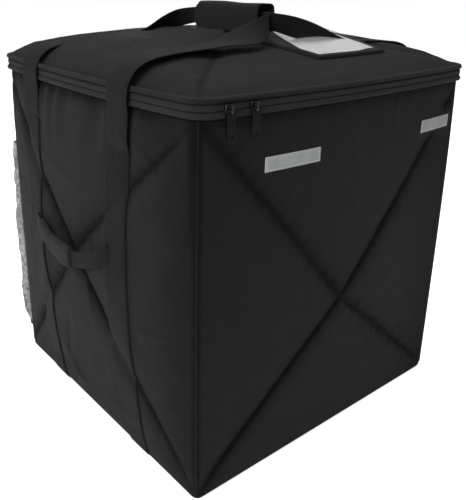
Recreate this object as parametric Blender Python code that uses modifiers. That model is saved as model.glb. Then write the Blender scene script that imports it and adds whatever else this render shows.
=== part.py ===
"""Insulated food carrier: a soft, foam-walled cube bag with a zipped, hinged lid.

Frame: metres, +Z up, origin at the centre of the base on the surface it stands on.
The front (two reflective patches, zip sliders) faces -Y and the lid hinges along +Y.
Two webbing carry loops come up the -X and +X sides and meet in a grip wrap over the lid.
"""
from math import asin, cos, pi, sin

import bmesh
import bpy
from mathutils import Matrix, Vector

# ---------------------------------------------------------------- driving dimensions
WIDTH = 0.556            # outside, along X, at the base
DEPTH = 0.540            # outside, along Y, at the base
BODY_TOP = 0.5555        # top of the four walls
WALL = 0.026             # cover, foam and clearance, measured inwards from the outside
SKIN = 0.0015            # fabric cover and liner thickness
GAP = 0.0003             # clearance between touching pieces

FRONT_RIM_BOW = 0.014    # how far each side bows out at the rim, at mid length
SIDE_RIM_BOW = 0.017
FRONT_BELLY = 0.004      # extra bulge at mid height
LEFT_BELLY = 0.016
RIGHT_BELLY = 0.012

CORNER_PIPING_R = 0.006
BASE_PIPING_R = 0.0042
RIM_CORNER = 0.024       # corner radius of the lid and zip in plan
BASE_CORNER = 0.012

BASE_BOARD = 0.0032
BASE_FOAM_TOP = 0.0271

RIM_BINDING = 0.0020     # flat binding on top of the walls
ZIP_TAPE = 0.0084        # height of the zip tape sewn to the body
ZIP_TEETH = 0.0022       # height of each half of the zip coil
LID_TAPE = 0.0072
LID_PIPING_R = 0.0042
LID_CROWN = 0.033        # how far the lid's middle stands above its edge

STRAP_Y = 0.130          # centre of each vertical strap from the middle of a side
STRAP_WIDTH = 0.050
STRAP_THICK = 0.0018
STRAP_TOP = 0.4995       # where the strap is sewn down last, and the free loop starts

HANDLE_PIVOT_Z = 0.360   # top edge of the side grab handle's sewn ends
HANDLE_WIDTH = 0.025
HANDLE_THICK = 0.0024
HANDLE_DROOP = 0.045
HANDLE_REACH = 0.030
SLEEVE_LENGTH = 0.130
SLEEVE_CENTRE_Y = 0.040

WRAP_LENGTH = 0.172
WRAP_CENTRE = Vector((0.0, -0.005, 0.650))
WRAP_HALF_HEIGHT = 0.0215
WRAP_HALF_WIDTH = 0.0150
WRAP_WALL = 0.0025

SLIDER_WIDTH = 0.013
SLIDER_HEIGHT = 0.0125
SLIDER_DEPTH = 0.0045
SLIDER_X = (-0.2405, -0.2035)
TAB_WIDTH = 0.013
TAB_LENGTH = 0.041
TAB_THICK = 0.0016
TAB_WINDOW = 0.0050      # height of the window that the slider's bridge passes through
TAB_HOLE_R = 0.0038

REFLECTORS = {
    # centre along the front, centre height, length
    "near_reflector": (-0.119, 0.490, 0.100),
    "far_reflector": (0.210, 0.494, 0.084),
}
REFLECTOR_HEIGHT = 0.020

BACK_POCKET = (0.400, 0.040, 0.380)      # width, bottom and top heights
BACK_POCKET_PROUD = 0.0130
BACK_POCKET_BORDER = 0.014

TICKET_CENTRE = (0.068, -0.122)
TICKET_SIZE = (0.155, 0.176)
TICKET_BORDER = 0.011

# ---------------------------------------------------------------- worked-out heights
BASE_SKIN_TOP = SKIN
BOARD_Z = BASE_SKIN_TOP + GAP
FOAM_Z = BOARD_Z + BASE_BOARD + GAP
WALL_Z = 2 * BASE_PIPING_R + 0.0008
BINDING_Z = BODY_TOP + GAP
LID_Z = BINDING_Z + RIM_BINDING          # the parting plane between body and lid
BODY_TAPE_Z = LID_Z + GAP
BODY_TEETH_Z = BODY_TAPE_Z + ZIP_TAPE + GAP
LID_TEETH_Z = BODY_TEETH_Z + ZIP_TEETH + GAP
LID_TAPE_Z = LID_TEETH_Z + ZIP_TEETH + GAP
LID_PIPING_Z = LID_TAPE_Z + LID_TAPE + GAP + LID_PIPING_R
LID_EDGE = LID_PIPING_Z
TEETH_MID_Z = LID_TEETH_Z - GAP / 2

SIDES = {
    # half length along the side, distance out, rim bow, belly
    "front": (WIDTH / 2, DEPTH / 2, FRONT_RIM_BOW, FRONT_BELLY),
    "right": (DEPTH / 2, WIDTH / 2, SIDE_RIM_BOW, RIGHT_BELLY),
    "back": (WIDTH / 2, DEPTH / 2, 0.0, 0.0),
    "left": (DEPTH / 2, WIDTH / 2, SIDE_RIM_BOW, LEFT_BELLY),
}
SIDE_ORDER = ("front", "right", "back", "left")


# ---------------------------------------------------------------- scene and materials
def clear_scene():
    for old in list(bpy.data.objects):
        bpy.data.objects.remove(old, do_unlink=True)


def make_collection(name):
    made = bpy.data.collections.new(name)
    bpy.context.scene.collection.children.link(made)
    return made


def make_material(name, colour, roughness, metallic=0.0, alpha=1.0):
    made = bpy.data.materials.new(name)
    made.use_nodes = True
    shader = made.node_tree.nodes["Principled BSDF"]
    shader.inputs["Base Color"].default_value = (*colour, 1.0)
    shader.inputs["Roughness"].default_value = roughness
    shader.inputs["Metallic"].default_value = metallic
    shader.inputs["Alpha"].default_value = alpha
    made.diffuse_color = (*colour, alpha)
    return made


clear_scene()
PARTS = make_collection("insulated_food_carrier")
MATERIALS = {
    "nylon": make_material("nylon", (0.030, 0.030, 0.032), 0.75),
    "webbing": make_material("webbing", (0.040, 0.040, 0.042), 0.85),
    "piping": make_material("piping", (0.035, 0.035, 0.037), 0.70),
    "foam": make_material("foam", (0.75, 0.75, 0.73), 0.95),
    "board": make_material("board", (0.10, 0.10, 0.10), 0.60),
    "liner": make_material("liner", (0.62, 0.63, 0.64), 0.35),
    "zip": make_material("zip", (0.025, 0.025, 0.027), 0.60),
    "metal": make_material("metal", (0.03, 0.03, 0.03), 0.18, metallic=1.0),
    "reflector": make_material("reflector", (0.45, 0.46, 0.47), 0.40),
    "vinyl": make_material("vinyl", (0.75, 0.77, 0.80), 0.10, alpha=0.35),
    "paper": make_material("paper", (0.85, 0.85, 0.84), 0.80),
}


# ---------------------------------------------------------------- mesh helpers
def add_object(name, mesh, material, smooth=True):
    made = bpy.data.objects.new(name, mesh)
    mesh.materials.clear()
    mesh.materials.append(MATERIALS[material])
    if smooth:
        mesh.shade_smooth()
        mesh.set_sharp_from_angle(angle=pi / 5)
    PARTS.objects.link(made)
    return made


def face_out(shape):
    """Turn every face of a closed shape outwards."""
    bmesh.ops.recalc_face_normals(shape, faces=shape.faces)
    if shape.calc_volume(signed=True) < 0.0:
        bmesh.ops.reverse_faces(shape, faces=shape.faces)


def thick_sheet(name, columns, rows, place, material):
    """A closed block of columns x rows faces on each side.

    place(u, v, w) gives a point for u and v from -1 to 1 across the sheet and w of
    0 on its inner face or 1 on its outer one.
    """
    cells = bmesh.new()
    bmesh.ops.create_cube(cells, size=2.0)
    for axis, cuts in ((0, columns - 1), (1, rows - 1)):
        if cuts < 1:
            continue
        along = [edge for edge in cells.edges
                 if abs(edge.verts[0].co[axis] - edge.verts[1].co[axis]) > 1.5]
        bmesh.ops.subdivide_edges(cells, edges=along, cuts=cuts, use_grid_fill=True)
    for corner in cells.verts:
        u, v, w = corner.co
        corner.co = place(u, v, 1.0 if w > 0 else 0.0)
    face_out(cells)
    mesh = bpy.data.meshes.new(name)
    cells.to_mesh(mesh)
    cells.free()
    return add_object(name, mesh, material)


def curve_to_mesh(curve_object, name, material):
    """Turn a curve into a closed mesh object and drop the curve."""
    scene = bpy.context.scene
    scene.collection.objects.link(curve_object)
    graph = bpy.context.evaluated_depsgraph_get()
    mesh = bpy.data.meshes.new_from_object(curve_object.evaluated_get(graph))
    place = curve_object.matrix_world.copy()
    bpy.data.objects.remove(curve_object, do_unlink=True)
    shape = bmesh.new()
    shape.from_mesh(mesh)
    bmesh.ops.remove_doubles(shape, verts=shape.verts, dist=0.00001)
    face_out(shape)
    shape.to_mesh(mesh)
    shape.free()
    mesh.name = name
    made = add_object(name, mesh, material)
    made.matrix_world = place
    return made


def flat_shape(name, outlines, thickness, material, matrix=None):
    """A flat plate from closed outlines in its own XY plane; inner ones are holes."""
    data = bpy.data.curves.new(name, "CURVE")
    data.dimensions = "2D"
    data.fill_mode = "BOTH"
    data.extrude = thickness / 2
    for outline in outlines:
        spline = data.splines.new("POLY")
        spline.points.add(len(outline) - 1)
        for point, (x, y) in zip(spline.points, outline):
            point.co = (x, y, 0.0, 1.0)
        spline.use_cyclic_u = True
    made = bpy.data.objects.new(name, data)
    made.matrix_world = matrix or Matrix.Identity(4)
    return curve_to_mesh(made, name, material)


def plate(name, outlines, low, high, material):
    """A horizontal flat plate between two heights."""
    lift = Matrix.Translation((0.0, 0.0, (low + high) / 2))
    return flat_shape(name, outlines, high - low, material, lift)


def tube(name, points, radius, material, closed=False, resolution=1):
    data = bpy.data.curves.new(name, "CURVE")
    data.dimensions = "3D"
    data.bevel_depth = radius
    data.bevel_resolution = resolution
    data.use_fill_caps = True
    spline = data.splines.new("POLY")
    spline.points.add(len(points) - 1)
    for point, place in zip(spline.points, points):
        point.co = (*place, 1.0)
    spline.use_cyclic_u = closed
    return curve_to_mesh(bpy.data.objects.new(name, data), name, material)


def join(keep, other):
    """Union other into keep, and drop other."""
    union = keep.modifiers.new("union", "BOOLEAN")
    union.operation = "UNION"
    union.object = other
    graph = bpy.context.evaluated_depsgraph_get()
    mesh = bpy.data.meshes.new_from_object(keep.evaluated_get(graph))
    keep.modifiers.clear()
    keep.data = mesh
    bpy.data.objects.remove(other, do_unlink=True)


def circle(centre, radius, count):
    return [(centre[0] + radius * cos(2 * pi * k / count),
             centre[1] + radius * sin(2 * pi * k / count)) for k in range(count)]


def smooth_path(points, steps):
    """Catmull-Rom curve through the points, sampled steps times in each stretch."""
    ends = [points[0] * 2 - points[1]] + points + [points[-1] * 2 - points[-2]]
    route = []
    for a, b, c, d in zip(ends, ends[1:], ends[2:], ends[3:]):
        for k in range(steps):
            t = k / steps
            route.append(0.5 * (b * 2 + (c - a) * t + (a * 2 - b * 5 + c * 4 - d) * t ** 2
                                + (b * 3 - a - c * 3 + d) * t ** 3))
    route.append(points[-1])
    return route


# ---------------------------------------------------------------- the bag's own surfaces
def bow(side, along, z):
    """How far a side stands out past the base's rectangle."""
    half_length, _, rim_bow, belly = SIDES[side]
    t = min(z / BODY_TOP, 1.0)
    height = rim_bow * t ** 0.8 + belly * sin(pi * t)
    return height * max(0.0, 1.0 - (along / half_length) ** 2)


def side_point(side, along, out, z):
    """World point from a distance along a side (anticlockwise seen from above) and out."""
    x, y = {"front": (along, -out), "right": (out, along),
            "back": (-along, out), "left": (-out, -along)}[side]
    return Vector((x, y, z))


def side_surface(side, along, z, lift):
    """World point on a side's outer fabric surface, lift above it."""
    return side_point(side, along, SIDES[side][1] + bow(side, along, z) + lift, z)


def rim_point(side, s, offset, corner, bowed=True):
    """Plan point of the rim's outline: s runs from -1 to 1 along the side, from the middle
    of one rounded corner to the middle of the next."""
    half_length, half_out, rim_bow, _ = SIDES[side]
    position = SIDE_ORDER.index(side)
    neighbour = SIDE_ORDER[(position + (1 if s > 0 else -1)) % 4]
    straight = half_length - corner
    start = straight / half_length

    def end_bow(name):
        length, _, sagitta, _ = SIDES[name]
        return sagitta * (1.0 - ((length - corner) / length) ** 2) if bowed else 0.0

    if abs(s) <= start:
        along = s * half_length
        out = half_out + offset + (rim_bow * (1.0 - s * s) if bowed else 0.0)
    else:
        turn = (abs(s) - start) / (1.0 - start) * pi / 4
        along = straight + (corner + offset + end_bow(neighbour)) * sin(turn)
        along = along if s > 0 else -along
        out = half_out - corner + (corner + offset + end_bow(side)) * cos(turn)
    point = side_point(side, along, out, 0.0)
    return point.x, point.y


def side_samples(corner_steps, long_steps, start):
    """Values of s along one side, from just after one corner's middle to the next."""
    bend = [start + (1.0 - start) * k / corner_steps for k in range(1, corner_steps + 1)]
    middle = [-start + 2 * start * k / long_steps for k in range(long_steps + 1)]
    return [-s for s in reversed(bend[:-1])] + middle + bend


def rim_outline(offset, corner, bowed=True, corner_steps=3, long_steps=8):
    """The whole closed outline of the rim, anticlockwise."""
    points = []
    for side in SIDE_ORDER:
        start = (SIDES[side][0] - corner) / SIDES[side][0]
        steps = long_steps if bowed and SIDES[side][2] else 1
        for s in side_samples(corner_steps, steps, start):
            points.append(rim_point(side, s, offset, corner, bowed))
    return points


def zip_strip_outline(inner, outer):
    """The zip's strip in plan: round the left, front and right sides, open at the back."""
    stop = 0.86                            # the zip ends short of the back corners
    long_steps = 9

    def route(offset):
        points = []
        for side in ("left", "front", "right"):
            start = (SIDES[side][0] - RIM_CORNER) / SIDES[side][0]
            for s in side_samples(3, long_steps, start):
                if side == "left" and s < -stop:
                    continue
                if side == "right" and s > stop:
                    continue
                points.append(rim_point(side, s, offset, RIM_CORNER))
        return points

    return route(outer) + list(reversed(route(inner)))


def lid_height(x, y):
    """Height of the lid's outer fabric surface."""
    reach_x = WIDTH / 2 + SIDE_RIM_BOW
    reach_y = DEPTH / 2 + FRONT_RIM_BOW
    across = max(0.0, 1.0 - (x / reach_x) ** 2)
    deep = max(0.0, 1.0 - (y / reach_y) ** 2)
    return LID_EDGE + SKIN + LID_CROWN * across * deep


# ---------------------------------------------------------------- base
def build_base():
    inside = -(2 * BASE_PIPING_R + GAP)
    outline = rim_outline(inside, BASE_CORNER, bowed=False)
    plate("base_cover", [outline], 0.0, BASE_SKIN_TOP, "nylon")
    plate("base_board", [outline], BOARD_Z, BOARD_Z + BASE_BOARD, "board")
    foam = rim_outline(-(2 * CORNER_PIPING_R + GAP), 2 * CORNER_PIPING_R + 0.004, bowed=False)
    plate("base_foam", [foam], FOAM_Z, BASE_FOAM_TOP, "foam")
    ring = rim_outline(-BASE_PIPING_R, BASE_CORNER, bowed=False, corner_steps=4)
    height = BASE_PIPING_R + GAP
    tube("base_piping", [(x, y, height) for x, y in ring], BASE_PIPING_R, "piping",
         closed=True)


# ---------------------------------------------------------------- walls
WALL_CELLS = 8
FOAM_SLACK = 0.0024                        # between the foam's curved face and its cover
PANEL_END = 2 * CORNER_PIPING_R + 0.0005   # the panels stop short of the corner piping


def wall_heights(v, low):
    return low + (v + 1) / 2 * (BODY_TOP - low)


def build_wall(side):
    half_length, half_out, _, _ = SIDES[side]
    reach = half_length - PANEL_END
    foam_reach = reach if side in ("front", "back") else half_length - WALL - GAP

    def cover(u, v, w):
        z = wall_heights(v, WALL_Z)
        return side_surface(side, u * reach, z, (w - 1.0) * SKIN)

    def foam(u, v, w):
        z = wall_heights(v, BASE_FOAM_TOP + GAP)
        if w > 0:
            return side_surface(side, u * foam_reach, z, -SKIN - FOAM_SLACK)
        return side_point(side, u * foam_reach, half_out - WALL, z)

    thick_sheet(side + "_cover", WALL_CELLS, WALL_CELLS, cover, "nylon")
    thick_sheet(side + "_foam", WALL_CELLS, WALL_CELLS, foam, "foam")


def build_corner_piping():
    x = WIDTH / 2 - CORNER_PIPING_R
    y = DEPTH / 2 - CORNER_PIPING_R
    for front_back, sy in (("front", -1), ("back", 1)):
        for left_right, sx in (("left", -1), ("right", 1)):
            ends = [(sx * x, sy * y, WALL_Z), (sx * x, sy * y, BODY_TOP)]
            name = front_back + "_" + left_right + "_corner_piping"
            tube(name, ends, CORNER_PIPING_R, "piping")


def build_liner():
    half_x = WIDTH / 2 - WALL - GAP
    half_y = DEPTH / 2 - WALL - GAP
    floor_z = BASE_FOAM_TOP + GAP
    shape = bmesh.new()
    bmesh.ops.create_cube(shape, size=2.0)
    top = [face for face in shape.faces if face.normal.z > 0.5]
    bmesh.ops.delete(shape, geom=top, context="FACES")
    for corner in shape.verts:
        corner.co.x *= half_x
        corner.co.y *= half_y
        corner.co.z = BODY_TOP if corner.co.z > 0 else floor_z
    mesh = bpy.data.meshes.new("liner_tub")
    shape.to_mesh(mesh)
    shape.free()
    tub = add_object("liner_tub", mesh, "liner", smooth=False)
    shell = tub.modifiers.new("shell", "SOLIDIFY")
    shell.thickness = SKIN
    shell.offset = -1.0
    shell.use_even_offset = True


def build_rim():
    outer = rim_outline(0.0, BASE_CORNER)
    inner = -(WALL + GAP + SKIN)
    hole = rim_outline(inner, -inner + 0.010, bowed=False)
    plate("rim_binding", [outer, hole], BINDING_Z, BINDING_Z + RIM_BINDING, "piping")
    tape = zip_strip_outline(-0.0058, 0.0050)
    plate("body_zip_tape", [tape], BODY_TAPE_Z, BODY_TAPE_Z + ZIP_TAPE, "zip")
    teeth = zip_strip_outline(-0.0040, 0.0032)
    plate("body_zip_teeth", [teeth], BODY_TEETH_Z, BODY_TEETH_Z + ZIP_TEETH, "zip")


def build_lid_hinge_strip():
    """The fabric strip across the back that the lid folds on."""
    low = LID_Z - 0.013
    high = LID_PIPING_Z - LID_PIPING_R - 0.0004
    half = WIDTH / 2 - RIM_CORNER
    inner = DEPTH / 2 + 0.0012

    def place(u, v, w):
        return Vector((u * half, inner + w * 0.0012, low + (v + 1) / 2 * (high - low)))

    thick_sheet("lid_hinge_strip", 1, 2, place, "nylon")


# ---------------------------------------------------------------- lid
def lid_grid_point(u, v, offset):
    """Plan point for a square's (u, v), spread concentrically out to the rim's outline."""
    reach = max(abs(u), abs(v))
    if reach < 1e-9:
        return 0.0, 0.0
    if abs(u) >= abs(v):
        side, s = ("right", v / reach) if u > 0 else ("left", -v / reach)
    else:
        side, s = ("back", -u / reach) if v > 0 else ("front", u / reach)
    x, y = rim_point(side, s, offset, RIM_CORNER)
    return x * reach, y * reach


def build_lid():
    band_in = -0.0078
    outline = rim_outline(band_in, RIM_CORNER)
    plate("lid_liner", [outline], LID_Z + GAP, LID_Z + GAP + SKIN, "liner")
    foam_low = LID_Z + SKIN + 2 * GAP
    ring = [rim_outline(-0.0061, RIM_CORNER), rim_outline(band_in + GAP, RIM_CORNER)]
    plate("lid_band", ring, foam_low, LID_EDGE - 0.0010, "nylon")

    def foam(u, v, w):
        x, y = lid_grid_point(u, v, band_in - GAP)
        top = lid_height(x, y) - SKIN - FOAM_SLACK
        return Vector((x, y, top if w > 0 else foam_low))

    def cover(u, v, w):
        x, y = lid_grid_point(u, v, -LID_PIPING_R + 0.0016)
        return Vector((x, y, lid_height(x, y) - (1.0 - w) * SKIN))

    thick_sheet("lid_foam", 12, 12, foam, "foam")
    thick_sheet("lid_cover", 12, 12, cover, "nylon")
    edge = rim_outline(0.0020, RIM_CORNER, corner_steps=4)
    tube("lid_piping", [(x, y, LID_PIPING_Z) for x, y in edge], LID_PIPING_R, "piping",
         closed=True)
    tape = zip_strip_outline(-0.0058, 0.0050)
    plate("lid_zip_tape", [tape], LID_TAPE_Z, LID_TAPE_Z + LID_TAPE, "zip")
    teeth = zip_strip_outline(-0.0040, 0.0032)
    plate("lid_zip_teeth", [teeth], LID_TEETH_Z, LID_TEETH_Z + ZIP_TEETH, "zip")


def build_ticket_pocket():
    """The order-ticket pocket on the lid: backing, card, clear window and bound edge."""
    centre_x, centre_y = TICKET_CENTRE

    def layer(name, shrink, low, thick, material):
        half_x = TICKET_SIZE[0] / 2 - shrink
        half_y = TICKET_SIZE[1] / 2 - shrink

        def place(u, v, w):
            x = centre_x + u * half_x
            y = centre_y + v * half_y
            return Vector((x, y, lid_height(x, y) + low + w * thick))

        thick_sheet(name, 6, 6, place, material)

    layer("ticket_backing", 0.0, 0.0008, 0.0010, "nylon")
    layer("ticket_card", 0.013, 0.0021, 0.0005, "paper")
    layer("ticket_window", 0.0, 0.0029, 0.0006, "vinyl")
    border = TICKET_BORDER
    strips = (
        (0.0, -1, TICKET_SIZE[0] / 2, border / 2),
        (0.0, 1, TICKET_SIZE[0] / 2, border / 2),
        (-1, 0.0, border / 2, TICKET_SIZE[1] / 2 - border / 2),
        (1, 0.0, border / 2, TICKET_SIZE[1] / 2 - border / 2),
    )
    kept = None
    for side_x, side_y, half_x, half_y in strips:
        mid_x = centre_x + side_x * (TICKET_SIZE[0] - border) / 2
        mid_y = centre_y + side_y * (TICKET_SIZE[1] - border) / 2

        def place(u, v, w):
            x = mid_x + u * half_x
            y = mid_y + v * half_y
            return Vector((x, y, lid_height(x, y) + 0.0040 + w * 0.0010))

        piece = thick_sheet("ticket_binding", 5, 5, place, "piping")
        if kept is None:
            kept = piece
        else:
            join(kept, piece)
    kept.name = "ticket_binding"


# ---------------------------------------------------------------- trim on the body
def build_reflectors():
    half_z = REFLECTOR_HEIGHT / 2
    for name, (centre_x, centre_z, length) in REFLECTORS.items():
        half = length / 2

        def place(u, v, w):
            return side_surface("front", centre_x + u * half, centre_z + v * half_z,
                                0.0010 + w * 0.0009)

        thick_sheet(name, 5, 2, place, "reflector")


def build_back_pocket():
    """A clear document pocket on the back: bound on three edges and open at the top."""
    width, low, high = BACK_POCKET
    half = width / 2
    border = BACK_POCKET_BORDER
    # the frame's own X runs towards -X, so that its Y is up and its thickness lies along Y
    turn = Matrix(((-1, 0, 0, 0), (0, 0, 1, 0), (0, 1, 0, 0), (0, 0, 0, 1)))
    frame = [(-half, low), (half, low), (half, high), (half - border, high),
             (half - border, low + border), (-half + border, low + border),
             (-half + border, high), (-half, high)]
    middle = DEPTH / 2 + GAP + BACK_POCKET_PROUD / 2
    flat_shape("back_pocket_binding", [frame], BACK_POCKET_PROUD, "piping",
               Matrix.Translation((0.0, middle, 0.0)) @ turn)
    sheet_y = DEPTH / 2 + 2 * GAP + BACK_POCKET_PROUD

    def place(u, v, w):
        return Vector((-u * half, sheet_y + w * 0.0010, low + (v + 1) / 2 * (high - low)))

    thick_sheet("back_pocket_window", 1, 1, place, "vinyl")


# ---------------------------------------------------------------- straps and handles
def ribbon(name, route, width_way, thick, material, columns=1):
    """A flat strap: route is its middle line, width_way the half-width vector at a point."""
    last = len(route) - 1

    def place(u, v, w):
        k = round((u + 1) / 2 * last)
        ahead = route[min(k + 1, last)] - route[max(k - 1, 0)]
        half = width_way(k / last)
        normal = ahead.cross(half).normalized()
        return route[k] + half * v + normal * (w - 0.5) * thick

    return thick_sheet(name, last, columns, place, material)


def strap_surface(side, along, z, lift):
    return side_surface(side, along, z, 0.0008 + lift)


def build_sewn_straps():
    for side in ("left", "right"):
        for end, along in (("front", -STRAP_Y), ("back", STRAP_Y)):
            centre = along if side == "right" else -along

            def place(u, v, w):
                z = WALL_Z + 0.001 + (v + 1) / 2 * (STRAP_TOP - WALL_Z - 0.001)
                return strap_surface(side, centre + u * STRAP_WIDTH / 2, z, w * STRAP_THICK)

            thick_sheet(side + "_" + end + "_strap", 2, 8, place, "webbing")


LOOP_PIVOT_Z = STRAP_TOP + 0.0010


def build_loops():
    for side, sx in (("left", -1), ("right", 1)):
        inner_edge = STRAP_Y - STRAP_WIDTH / 2
        foot = SIDES[side][1] + bow(side, inner_edge, LOOP_PIVOT_Z) + 0.0025
        for end, sy in (("front", -1), ("back", 1)):
            y = sy * STRAP_Y
            knots = [Vector((sx * foot, y, LOOP_PIVOT_Z)),
                     Vector((sx * 0.3025, y, 0.5450)),
                     Vector((sx * 0.3050, y, 0.5850)),
                     Vector((sx * 0.3010, y, 0.5990))]
            half = Vector((0.0, STRAP_WIDTH / 2, 0.0))
            ribbon(side + "_" + end + "_riser", smooth_path(knots, 3), lambda t: half,
                   STRAP_THICK, "webbing")
        build_bight(side, sx)


def build_bight(side, sx):
    """The part of a carry loop that lies over the lid and runs through the grip wrap."""
    grip_x = sx * 0.0035
    middle_y = WRAP_CENTRE.y
    half_run = []
    for reach, y, z in ((0.2990, 0.130, 0.6005), (0.2300, 0.129, 0.6110),
                        (0.1500, 0.125, 0.6220), (0.0750, 0.121, 0.6340),
                        (0.0240, 0.114, 0.6450), (0.0040, 0.098, 0.6495),
                        (0.0035, 0.075, 0.6500)):
        half_run.append((sx * reach, y, z))
    knots = [Vector((x, -y, z)) for x, y, z in half_run]
    knots.append(Vector((grip_x, middle_y, WRAP_CENTRE.z)))
    knots += [Vector((x, y, z)) for x, y, z in reversed(half_run)]
    route = smooth_path(knots, 6)

    def width_way(t):
        """Flat on the lid at both ends, turned on edge and gathered inside the wrap."""
        turn = min(1.0, max(0.0, (min(t, 1.0 - t) - 0.07) / 0.24))
        turn = turn * turn * (3 - 2 * turn)
        half = STRAP_WIDTH / 2 * (1.0 - 0.46 * turn)
        way = 1 if t < 0.5 else -1
        return Vector((0.0, way * half * cos(turn * pi / 2), sx * -half * sin(turn * pi / 2)))

    ribbon(side + "_bight", route, width_way, STRAP_THICK, "webbing", columns=4)


def build_grip_wrap():
    """The padded cloth wrap that holds the two loops together as one grip."""
    rows = 4

    def oval(grow, angle):
        return Vector(((WRAP_HALF_WIDTH + grow) * cos(angle), 0.0,
                       (WRAP_HALF_HEIGHT + grow) * sin(angle)))

    shape = bmesh.new()
    bmesh.ops.create_cone(shape, cap_ends=False, segments=14, radius1=1.0, radius2=1.0,
                          depth=2.0)
    around = [edge for edge in shape.edges
              if abs(edge.verts[0].co.z - edge.verts[1].co.z) > 1.0]
    bmesh.ops.subdivide_edges(shape, edges=around, cuts=rows - 1)
    for corner in shape.verts:
        angle = Vector((corner.co.x, corner.co.y)).angle_signed(Vector((1, 0)), 0.0)
        across = oval(-WRAP_WALL, angle)
        corner.co = WRAP_CENTRE + across + Vector((0, corner.co.z * WRAP_LENGTH / 2, 0))
    bmesh.ops.recalc_face_normals(shape, faces=shape.faces)
    mesh = bpy.data.meshes.new("grip_wrap")
    shape.to_mesh(mesh)
    shape.free()
    wrap = add_object("grip_wrap", mesh, "nylon")
    inside_out = wrap.data.polygons[0].normal.dot(
        wrap.data.polygons[0].center - WRAP_CENTRE) < 0
    wall = wrap.modifiers.new("wall", "SOLIDIFY")
    wall.thickness = WRAP_WALL
    wall.offset = -1.0 if inside_out else 1.0

    def closure(u, v, w):
        return Vector((WRAP_CENTRE.x - WRAP_HALF_WIDTH - GAP - w * 0.0010,
                       WRAP_CENTRE.y + u * (WRAP_LENGTH / 2 - 0.006),
                       WRAP_CENTRE.z - 0.002 + v * 0.007))

    thick_sheet("grip_wrap_closure", 1, 1, closure, "webbing")


def build_grab_handle(side, sx):
    """A webbing grab handle sewn to the two vertical straps, with a padded sleeve."""
    count = 17

    def route_point(t):
        """t runs from -1 to 1, from the front strap to the back one."""
        y = t * STRAP_Y
        sag = 1.0 - t * t
        start = SIDES[side][1] + bow(side, STRAP_Y, HANDLE_PIVOT_Z)
        surface = max(start, SIDES[side][1] + bow(side, y, HANDLE_PIVOT_Z))
        out = surface + 0.0008 + STRAP_THICK + 0.0032 + HANDLE_REACH * sag ** 0.8
        z = HANDLE_PIVOT_Z - HANDLE_WIDTH / 2 - 0.0005 - HANDLE_DROOP * sag
        return Vector((sx * out, y, z))

    route = [route_point(-1 + 2 * k / (count - 1)) for k in range(count)]
    half = Vector((0.0, 0.0, HANDLE_WIDTH / 2))
    ribbon(side + "_grab_strap", route, lambda t: half, HANDLE_THICK, "webbing")
    low = (SLEEVE_CENTRE_Y - SLEEVE_LENGTH / 2) / STRAP_Y
    high = (SLEEVE_CENTRE_Y + SLEEVE_LENGTH / 2) / STRAP_Y
    steps = 8
    stations = [route_point(low + (high - low) * k / steps) for k in range(steps + 1)]
    build_sleeve(side + "_grab_sleeve", stations)


def build_sleeve(name, stations):
    """A flattened tube of padded cloth round the middle of a grab handle."""
    sides = 10
    half_width = HANDLE_WIDTH / 2 + 0.0022
    half_thick = HANDLE_THICK / 2 + 0.0026
    last = len(stations) - 1
    shape = bmesh.new()
    bmesh.ops.create_cone(shape, cap_ends=False, segments=sides, radius1=1.0, radius2=1.0,
                          depth=2.0)
    along = [edge for edge in shape.edges
             if abs(edge.verts[0].co.z - edge.verts[1].co.z) > 1.0]
    bmesh.ops.subdivide_edges(shape, edges=along, cuts=last - 1)
    for corner in shape.verts:
        k = round((corner.co.z + 1) / 2 * last)
        ahead = (stations[min(k + 1, last)] - stations[max(k - 1, 0)]).normalized()
        up = Vector((0, 0, 1))
        outward = ahead.cross(up).normalized()
        corner.co = (stations[k] + up * corner.co.y * half_width
                     + outward * corner.co.x * half_thick)
    bmesh.ops.recalc_face_normals(shape, faces=shape.faces)
    mesh = bpy.data.meshes.new(name)
    shape.to_mesh(mesh)
    shape.free()
    sleeve = add_object(name, mesh, "nylon")
    first = sleeve.data.polygons[0]
    nearest = min(stations, key=lambda point: (point - first.center).length)
    inside_out = first.normal.dot(first.center - nearest) < 0
    wall = sleeve.modifiers.new("wall", "SOLIDIFY")
    wall.thickness = 0.0028
    wall.offset = -1.0 if inside_out else 1.0


# ---------------------------------------------------------------- zip sliders
ARC_RADIUS = ((WIDTH / 2) ** 2 + FRONT_RIM_BOW ** 2) / (2 * FRONT_RIM_BOW)
ARC_CENTRE_Y = -DEPTH / 2 - FRONT_RIM_BOW + ARC_RADIUS   # the front zip lies on this arc


def zip_frame(x):
    """Matrix whose origin is on the zip at x, with X along the zip and -Y outwards."""
    turn = asin(x / ARC_RADIUS)
    place = Vector((ARC_RADIUS * sin(turn), ARC_CENTRE_Y - ARC_RADIUS * cos(turn),
                    TEETH_MID_Z))
    return Matrix.Translation(place) @ Matrix.Rotation(turn, 4, "Z")


BODY_OUT = 0.0056                              # slider's back face, outwards of the rim line
BRIDGE_GAP = 0.0034                            # clear space under the bridge
BRIDGE_THICK = 0.0013
PIVOT_OUT = BODY_OUT + SLIDER_DEPTH + 0.0018
BRIDGE_HALF = 0.0046                           # half the bridge's height


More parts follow.
